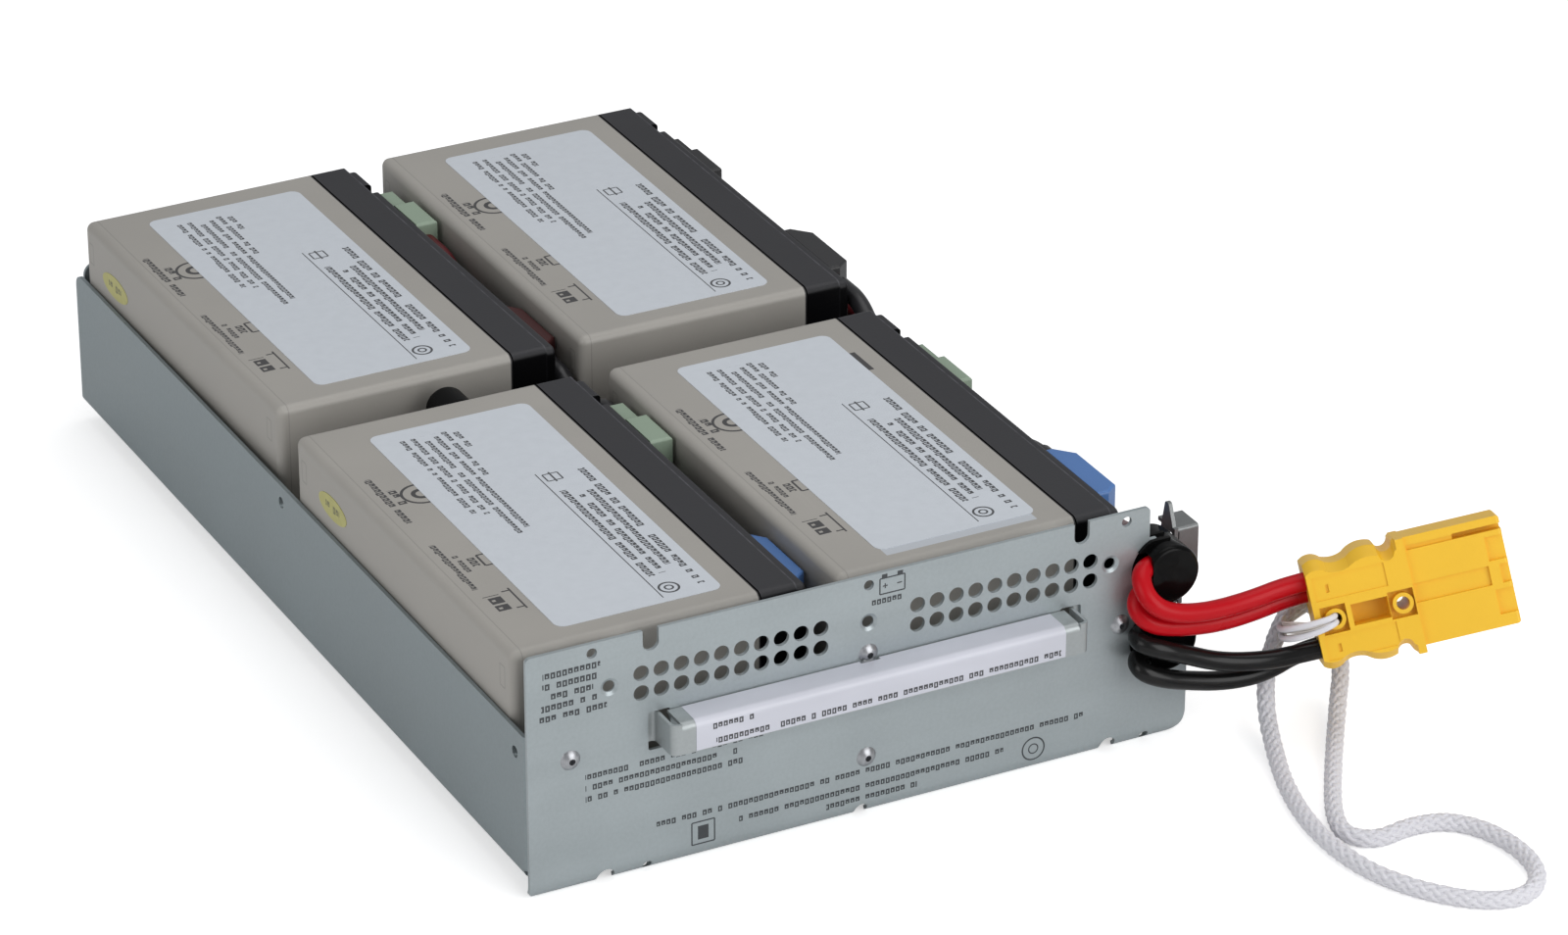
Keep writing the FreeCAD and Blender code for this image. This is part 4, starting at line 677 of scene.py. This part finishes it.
# Painted shade: dark copies of the boot plastic for the boots deep in the gaps.
boot_painted_shade = plastic("boot_painted_shade", (0.022, 0.022, 0.024), 0.45)[0]
boot_red_painted_shade = plastic("boot_red_painted_shade", (0.060, 0.010, 0.010), 0.5)[0]
FRONT_BOOTS = {"fl": boot_blue, "fr": boot_blue, "rl": boot_red_painted_shade, "rr": boot_painted_shade}
REAR_BOOTS = {"fl": boot_green, "fr": boot_green, "rl": boot_green, "rr": boot_painted_shade}
for key in KEYS:
    dress(f"terminals_{key}", tab_metal)
    dress(f"rear_boot_{key}", REAR_BOOTS[key])
    dress(f"front_boot_{key}", FRONT_BOOTS[key])

# ---- Crimps ----
# Behind each blue boot the wire's copper crimp shows, then a sleeve of black heat-shrink.
CRIMP_RADIUS = 0.0032
CRIMP_LENGTH = 0.0016
SLEEVE_RADIUS = 0.0036
SLEEVE_LENGTH = 0.0075
CRIMP_ROUND = 0.0005
CRIMP_ROUND_STEPS = 3
CRIMP_SIDES = 48
COPPER = (0.62, 0.30, 0.13)
copper, tree, shader, at = new_surface("crimp_copper", 0.35, metallic=0.9)
tarnish = ranged(tree, noise(tree, at, 900.0), 0.7, 1.2)
tree.links.new(shaded(tree, COPPER, tarnish), shader.inputs["Base Color"])
sleeve_black = plastic("sleeve_black", (0.016, 0.016, 0.017), 0.35, 0.00005)[0]
for key in ("fl", "fr"):
    low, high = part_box(f"front_boot_{key}")
    middle = (low + high) / 2
    start = high.y
    for label, radius, length, material, slot in (
            ("crimp", CRIMP_RADIUS, CRIMP_LENGTH, copper, "contact_metal"),
            ("sleeve", SLEEVE_RADIUS, SLEEVE_LENGTH, sleeve_black, "cable_black")):
        pick_none()
        bpy.ops.mesh.primitive_cylinder_add(
            vertices=CRIMP_SIDES, radius=radius, depth=length, rotation=(math.pi / 2, 0, 0),
            location=(middle.x, start + length / 2, middle.z))
        piece = bpy.context.object
        piece.name = f"{label}_{key}"
        bpy.ops.object.transform_apply(location=True, rotation=True, scale=True)
        rounding = piece.modifiers.new("rounding", "BEVEL")
        rounding.width = CRIMP_ROUND
        rounding.segments = CRIMP_ROUND_STEPS
        bpy.ops.object.modifier_apply(modifier="rounding")
        bpy.ops.object.shade_smooth()
        piece.data.materials.append(material)
        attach(piece, "root")
        start += length

# ---- Inner wiring ----
# Black and dark red wires between the boots, with a black fuse holder in the left gap.
wire_black = plastic("wire_black", (0.018, 0.018, 0.020), 0.32)[0]
wire_red = plastic("wire_red", (0.100, 0.006, 0.009), 0.4)[0]
for node in ("fuse_wire_front", "fuse_wire_rear", "link_wire_right", "lead_left_front", "lead_right_front"):
    dress(node, wire_black)
for node in ("lead_left_rear", "lead_right_rear"):
    dress(node, wire_red)
dress("fuse_holder", plastic("fuse_black", (0.003, 0.003, 0.003), 0.45, 0.00002, specular=0.08)[0])

# ---- Side bracket ----
# A folded bracket on the outside of the right wall. Its steel is painted darker than the tray, as shade on its
# side plate.
dress("side_bracket", zinc_steel("bracket_steel", (0.230, 0.240, 0.240), 0.38, (1.0, 1.0, 0.1))[0])

# ---- Bushings ----
# Glossy black nylon bushings, snapped in the panel's notches, that send the cables out.
BUSHING_COLOUR = (0.003, 0.003, 0.003)
BUSHING_RELIEF = 0.0008
bushing_black, tree, shader, at = new_surface("bushing_black", 0.18, specular=0.12)
uneven = ranged(tree, noise(tree, at, 90.0), 0.6, 1.4)
tree.links.new(shaded(tree, BUSHING_COLOUR, uneven), shader.inputs["Base Color"])
bumped(tree, shader, noise(tree, at, 130.0, 1.0), BUSHING_RELIEF)
dress("upper_bushing", bushing_black)
dress("lower_bushing", bushing_black)

# ---- Connector ----
# A two-pole housing of yellow glass-filled nylon, with silver contact blades in its chambers.
dress("connector_housing", plastic("connector_yellow", (0.900, 0.530, 0.022), 0.42, 0.00004)[0])
dress("connector_contacts", tab_metal)
PLUG_PLACE = (0.2453, -0.0158, 0.0323)
PLUG_TURN = (Matrix.Rotation(math.radians(-21.1), 4, "Z") @ Matrix.Rotation(math.radians(-11.8), 4, "Y")
             @ Matrix.Rotation(math.radians(69.2), 4, "X"))


def plug_point(x, y, z):
    """A point from the connector's own axes (length, width, front), in the tray's."""
    return tuple(PLUG_TURN @ Vector((x, y, z)) + Vector(PLUG_PLACE))


# ---- Cables ----
# Two red and two black cables, 5.8 mm thick, run from the bushings into the connector.
RUN_STEPS = 12
CORD_ROUNDNESS = 8
THIN_ROUNDNESS = 1
CABLE = 0.0058
CABLE_SPREAD = 0.00325
CABLE_SEAT = 0.0060
LEAD_IN = 0.0050
BUSHING_X = 0.2049
BUSHING_DEPTH = -0.0015
UPPER_Z = 0.0510
LOWER_Z = 0.0287
CABLES = {
    "red_cable_upper": (UPPER_Z + CABLE_SPREAD, (0.0104, 0.0022), [
        (0.1970, -0.0022, 0.0542), (0.1924, -0.0060, 0.0526), (0.1926, -0.0112, 0.0476),
        (0.1982, -0.0136, 0.0433), (0.2110, -0.0134, 0.0405), (0.2265, -0.0118, 0.0398)]),
    "red_cable_lower": (UPPER_Z - CABLE_SPREAD, (0.0064, -0.0022), [
        (0.1960, -0.0023, 0.0474), (0.1916, -0.0046, 0.0428), (0.1946, -0.0090, 0.0384),
        (0.2033, -0.0098, 0.0358), (0.2166, -0.0094, 0.0336), (0.2295, -0.0090, 0.0340)]),
    "black_cable_upper": (LOWER_Z + CABLE_SPREAD, (-0.0099, 0.00295), [
        (0.1975, -0.0021, 0.0320), (0.1926, -0.0043, 0.0328), (0.1923, -0.0093, 0.0325),
        (0.1976, -0.0119, 0.0307), (0.2052, -0.0117, 0.0272), (0.2164, -0.0130, 0.0224),
        (0.2300, -0.0166, 0.0212)]),
    "black_cable_lower": (LOWER_Z - CABLE_SPREAD, (-0.0099, -0.00295), [
        (0.1973, -0.0022, 0.0254), (0.1928, -0.0044, 0.0247), (0.1928, -0.0085, 0.0230),
        (0.1978, -0.0101, 0.0205), (0.2050, -0.0102, 0.0179), (0.2190, -0.0110, 0.0144),
        (0.2317, -0.0130, 0.0150)]),
}


def add_run(curve, points):
    """Adds a smooth run that starts at the first point, ends at the last and bends towards the rest."""
    spline = curve.splines.new("NURBS")
    spline.points.add(len(points) - 1)
    for control, point in zip(spline.points, points):
        control.co = (*place(*point), 1.0)
    spline.order_u = 3
    spline.use_endpoint_u = True
    return spline


def new_curve(name, radius, roundness):
    """An empty curve that shows as a round tube."""
    curve = bpy.data.curves.new(name, "CURVE")
    curve.dimensions = "3D"
    curve.bevel_depth = radius
    curve.bevel_resolution = roundness
    return curve


def new_piece(name, data):
    """Puts a curve or mesh in the scene."""
    piece = bpy.data.objects.new(name, data)
    scene.collection.objects.link(piece)
    return piece


def smooth_cord(name, points, diameter, material):
    """A round cord on one smooth run."""
    curve = new_curve(name, diameter / 2, CORD_ROUNDNESS)
    add_run(curve, points).resolution_u = RUN_STEPS
    curve.use_fill_caps = True
    curve.materials.append(material)
    return new_piece(name, curve)


cable_finishes = {
    "cable_red": plastic("cable_red", (0.500, 0.002, 0.008), 0.30, 0.00002, specular=0.2)[0],
    "cable_black": plastic("cable_black", (0.006, 0.006, 0.006), 0.24, 0.00002, specular=0.3)[0]}
for node, (level, seat, chosen) in CABLES.items():
    slot = "cable_red" if node.startswith("red") else "cable_black"
    start = (BUSHING_X, BUSHING_DEPTH, level)
    points = [start] + chosen + [plug_point(-LEAD_IN, *seat), plug_point(CABLE_SEAT, *seat)]
    cable = smooth_cord(node + "_run", points, CABLE, cable_finishes[slot])
    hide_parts(node)
    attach(cable, "root")

# ---- Pull cord ----
# A braided white cord, tied behind the connector, that hangs to the floor and loops back. Its
# twelve yarns wind about a core, six each way.
CORD = 0.0056
CORE = 0.0040
YARN = 0.0016
YARNS_EACH_WAY = 6
BRAID_PITCH = 0.024
BRAID_RADIUS = 0.00178
BRAID_WEAVE = 0.00022
ROUTE_STEPS = 26
KNOT_PLACE = (0.0045, 0.0015)
KNOT_RADIUS = 0.0054
KNOT_GAP = 0.0002
CORD_IN_KNOT = 0.0042
PLUG_BACK = -0.0085
CORD_FLOOR = -LIP_DROP + CORD / 2      # the height of its middle where it lies down
knot_centre = Vector(plug_point(*KNOT_PLACE, PLUG_BACK - KNOT_RADIUS - KNOT_GAP))


def in_knot(towards):
    """Where a strand that comes from the given point ends inside the knot."""
    return tuple(knot_centre + (Vector(towards) - knot_centre).normalized() * CORD_IN_KNOT)


CORD_DOWN = [(0.2470, -0.0030, 0.0300), (0.2412, -0.0038, 0.0218), (0.2372, -0.0050, 0.0105),
             (0.2336, -0.0115, 0.0012)]
CORD_LOOP = [(0.2283, -0.0250), (0.2194, -0.0467), (0.2140, -0.0700), (0.2146, -0.0930), (0.2220, -0.1115),
             (0.2355, -0.1265), (0.2500, -0.1298), (0.2598, -0.1180), (0.2605, -0.1000), (0.2535, -0.0850),
             (0.2410, -0.0810), (0.2272, -0.0840), (0.2202, -0.0775), (0.2235, -0.0660), (0.2332, -0.0498),
             (0.2465, -0.0295)]
CORD_UP = [(0.2573, -0.0135, -0.0018), (0.2632, -0.0055, 0.0050), (0.2624, -0.0035, 0.0150)]
cord_points = [in_knot(CORD_DOWN[0]), *CORD_DOWN, *((x, y, CORD_FLOOR) for x, y in CORD_LOOP), *CORD_UP,
               in_knot(CORD_UP[-1])]
cord_white, _, shader, _ = plastic("cord_white", (0.740, 0.735, 0.775), 0.75, 0.00012)
shader.inputs["Sheen Weight"].default_value = 0.15
pull_cord = smooth_cord("pull_cord_core", cord_points, CORE, cord_white)
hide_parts("pull_cord")
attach(pull_cord, "root")
dress("cord_lashing", cord_white)

# The route itself, read back from a bare copy of the cord's curve.
bare = bpy.data.objects.new("pull_cord_route", pull_cord.data.copy())
bare.data.bevel_depth = 0.0
bare.data.resolution_u = ROUTE_STEPS
route = [vertex.co.copy() for vertex in bpy.data.meshes.new_from_object(bare).vertices]
bpy.data.objects.remove(bare)

# A frame carried along the route without twist, for the yarns to wind about.
headings = [(after - before).normalized() for before, after in zip(route, route[1:])]
headings.append(headings[-1])
side = headings[0].orthogonal().normalized()
frames = []
travelled = 0.0
for index, spot in enumerate(route):
    if index:
        side = headings[index - 1].rotation_difference(headings[index]) @ side
        travelled += (spot - route[index - 1]).length
    frames.append((spot, side.copy(), headings[index].cross(side), travelled))

braid_data = new_curve("pull_cord_braid", YARN / 2, THIN_ROUNDNESS)
for hand in (1, -1):
    for yarn in range(YARNS_EACH_WAY):
        spline = braid_data.splines.new("POLY")
        spline.points.add(len(frames) - 1)
        for control, (spot, side, over, travelled) in zip(spline.points, frames):
            turn = 2 * math.pi * travelled / BRAID_PITCH
            angle = hand * turn + 2 * math.pi * yarn / YARNS_EACH_WAY
            radius = BRAID_RADIUS + hand * BRAID_WEAVE * math.cos(YARNS_EACH_WAY * turn)
            control.co = (*(spot + (side * math.cos(angle) + over * math.sin(angle)) * radius), 1.0)
wound = bpy.data.objects.new("pull_cord_yarns", braid_data)
braid_mesh = bpy.data.meshes.new_from_object(wound)
bpy.data.objects.remove(wound)
for face in braid_mesh.polygons:
    face.use_smooth = True
braid_mesh.materials.clear()
braid_mesh.materials.append(cord_white)
braid = new_piece("pull_cord_braid", braid_mesh)
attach(braid, "root")

# Loose threads of the lashing fan out from the boss and round the connector's end.
BOSS_X, BOSS_Y = 0.0060, -0.0015
LASH_FRONT = 0.0100
LASH_ASIDE = BOSS_Y - 0.001
THREADS = 16
THREAD_RADIUS = 0.00022
FAN = 0.0030
UNEVEN_LIFT = 0.0007
UNEVEN_STEP = 2.4
threads_data = new_curve("lashing_threads", THREAD_RADIUS, THIN_ROUNDNESS)
for index in range(THREADS):
    fan = FAN * (2 * index / (THREADS - 1) - 1)
    lift = UNEVEN_LIFT * math.sin(UNEVEN_STEP * index)
    steps = [(BOSS_X, BOSS_Y + 0.2 * fan, LASH_FRONT - 0.006),
             (BOSS_X - 0.001, BOSS_Y + 0.3 * fan, LASH_FRONT + lift),
             (-0.0010, LASH_ASIDE + 0.5 * fan, LASH_FRONT + lift),
             (-0.0070, LASH_ASIDE + fan, LASH_FRONT - 0.003),
             (-0.0100, LASH_ASIDE + fan + lift, LASH_FRONT - 0.010),
             (-0.0060, BOSS_Y + 0.6 * fan, PLUG_BACK - 0.004)]
    add_run(threads_data, [plug_point(*step) for step in steps])
threads_data.materials.append(plastic("thread_white", (0.640, 0.600, 0.560), 0.5)[0])
threads = new_piece("lashing_threads", threads_data)
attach(threads, "root")
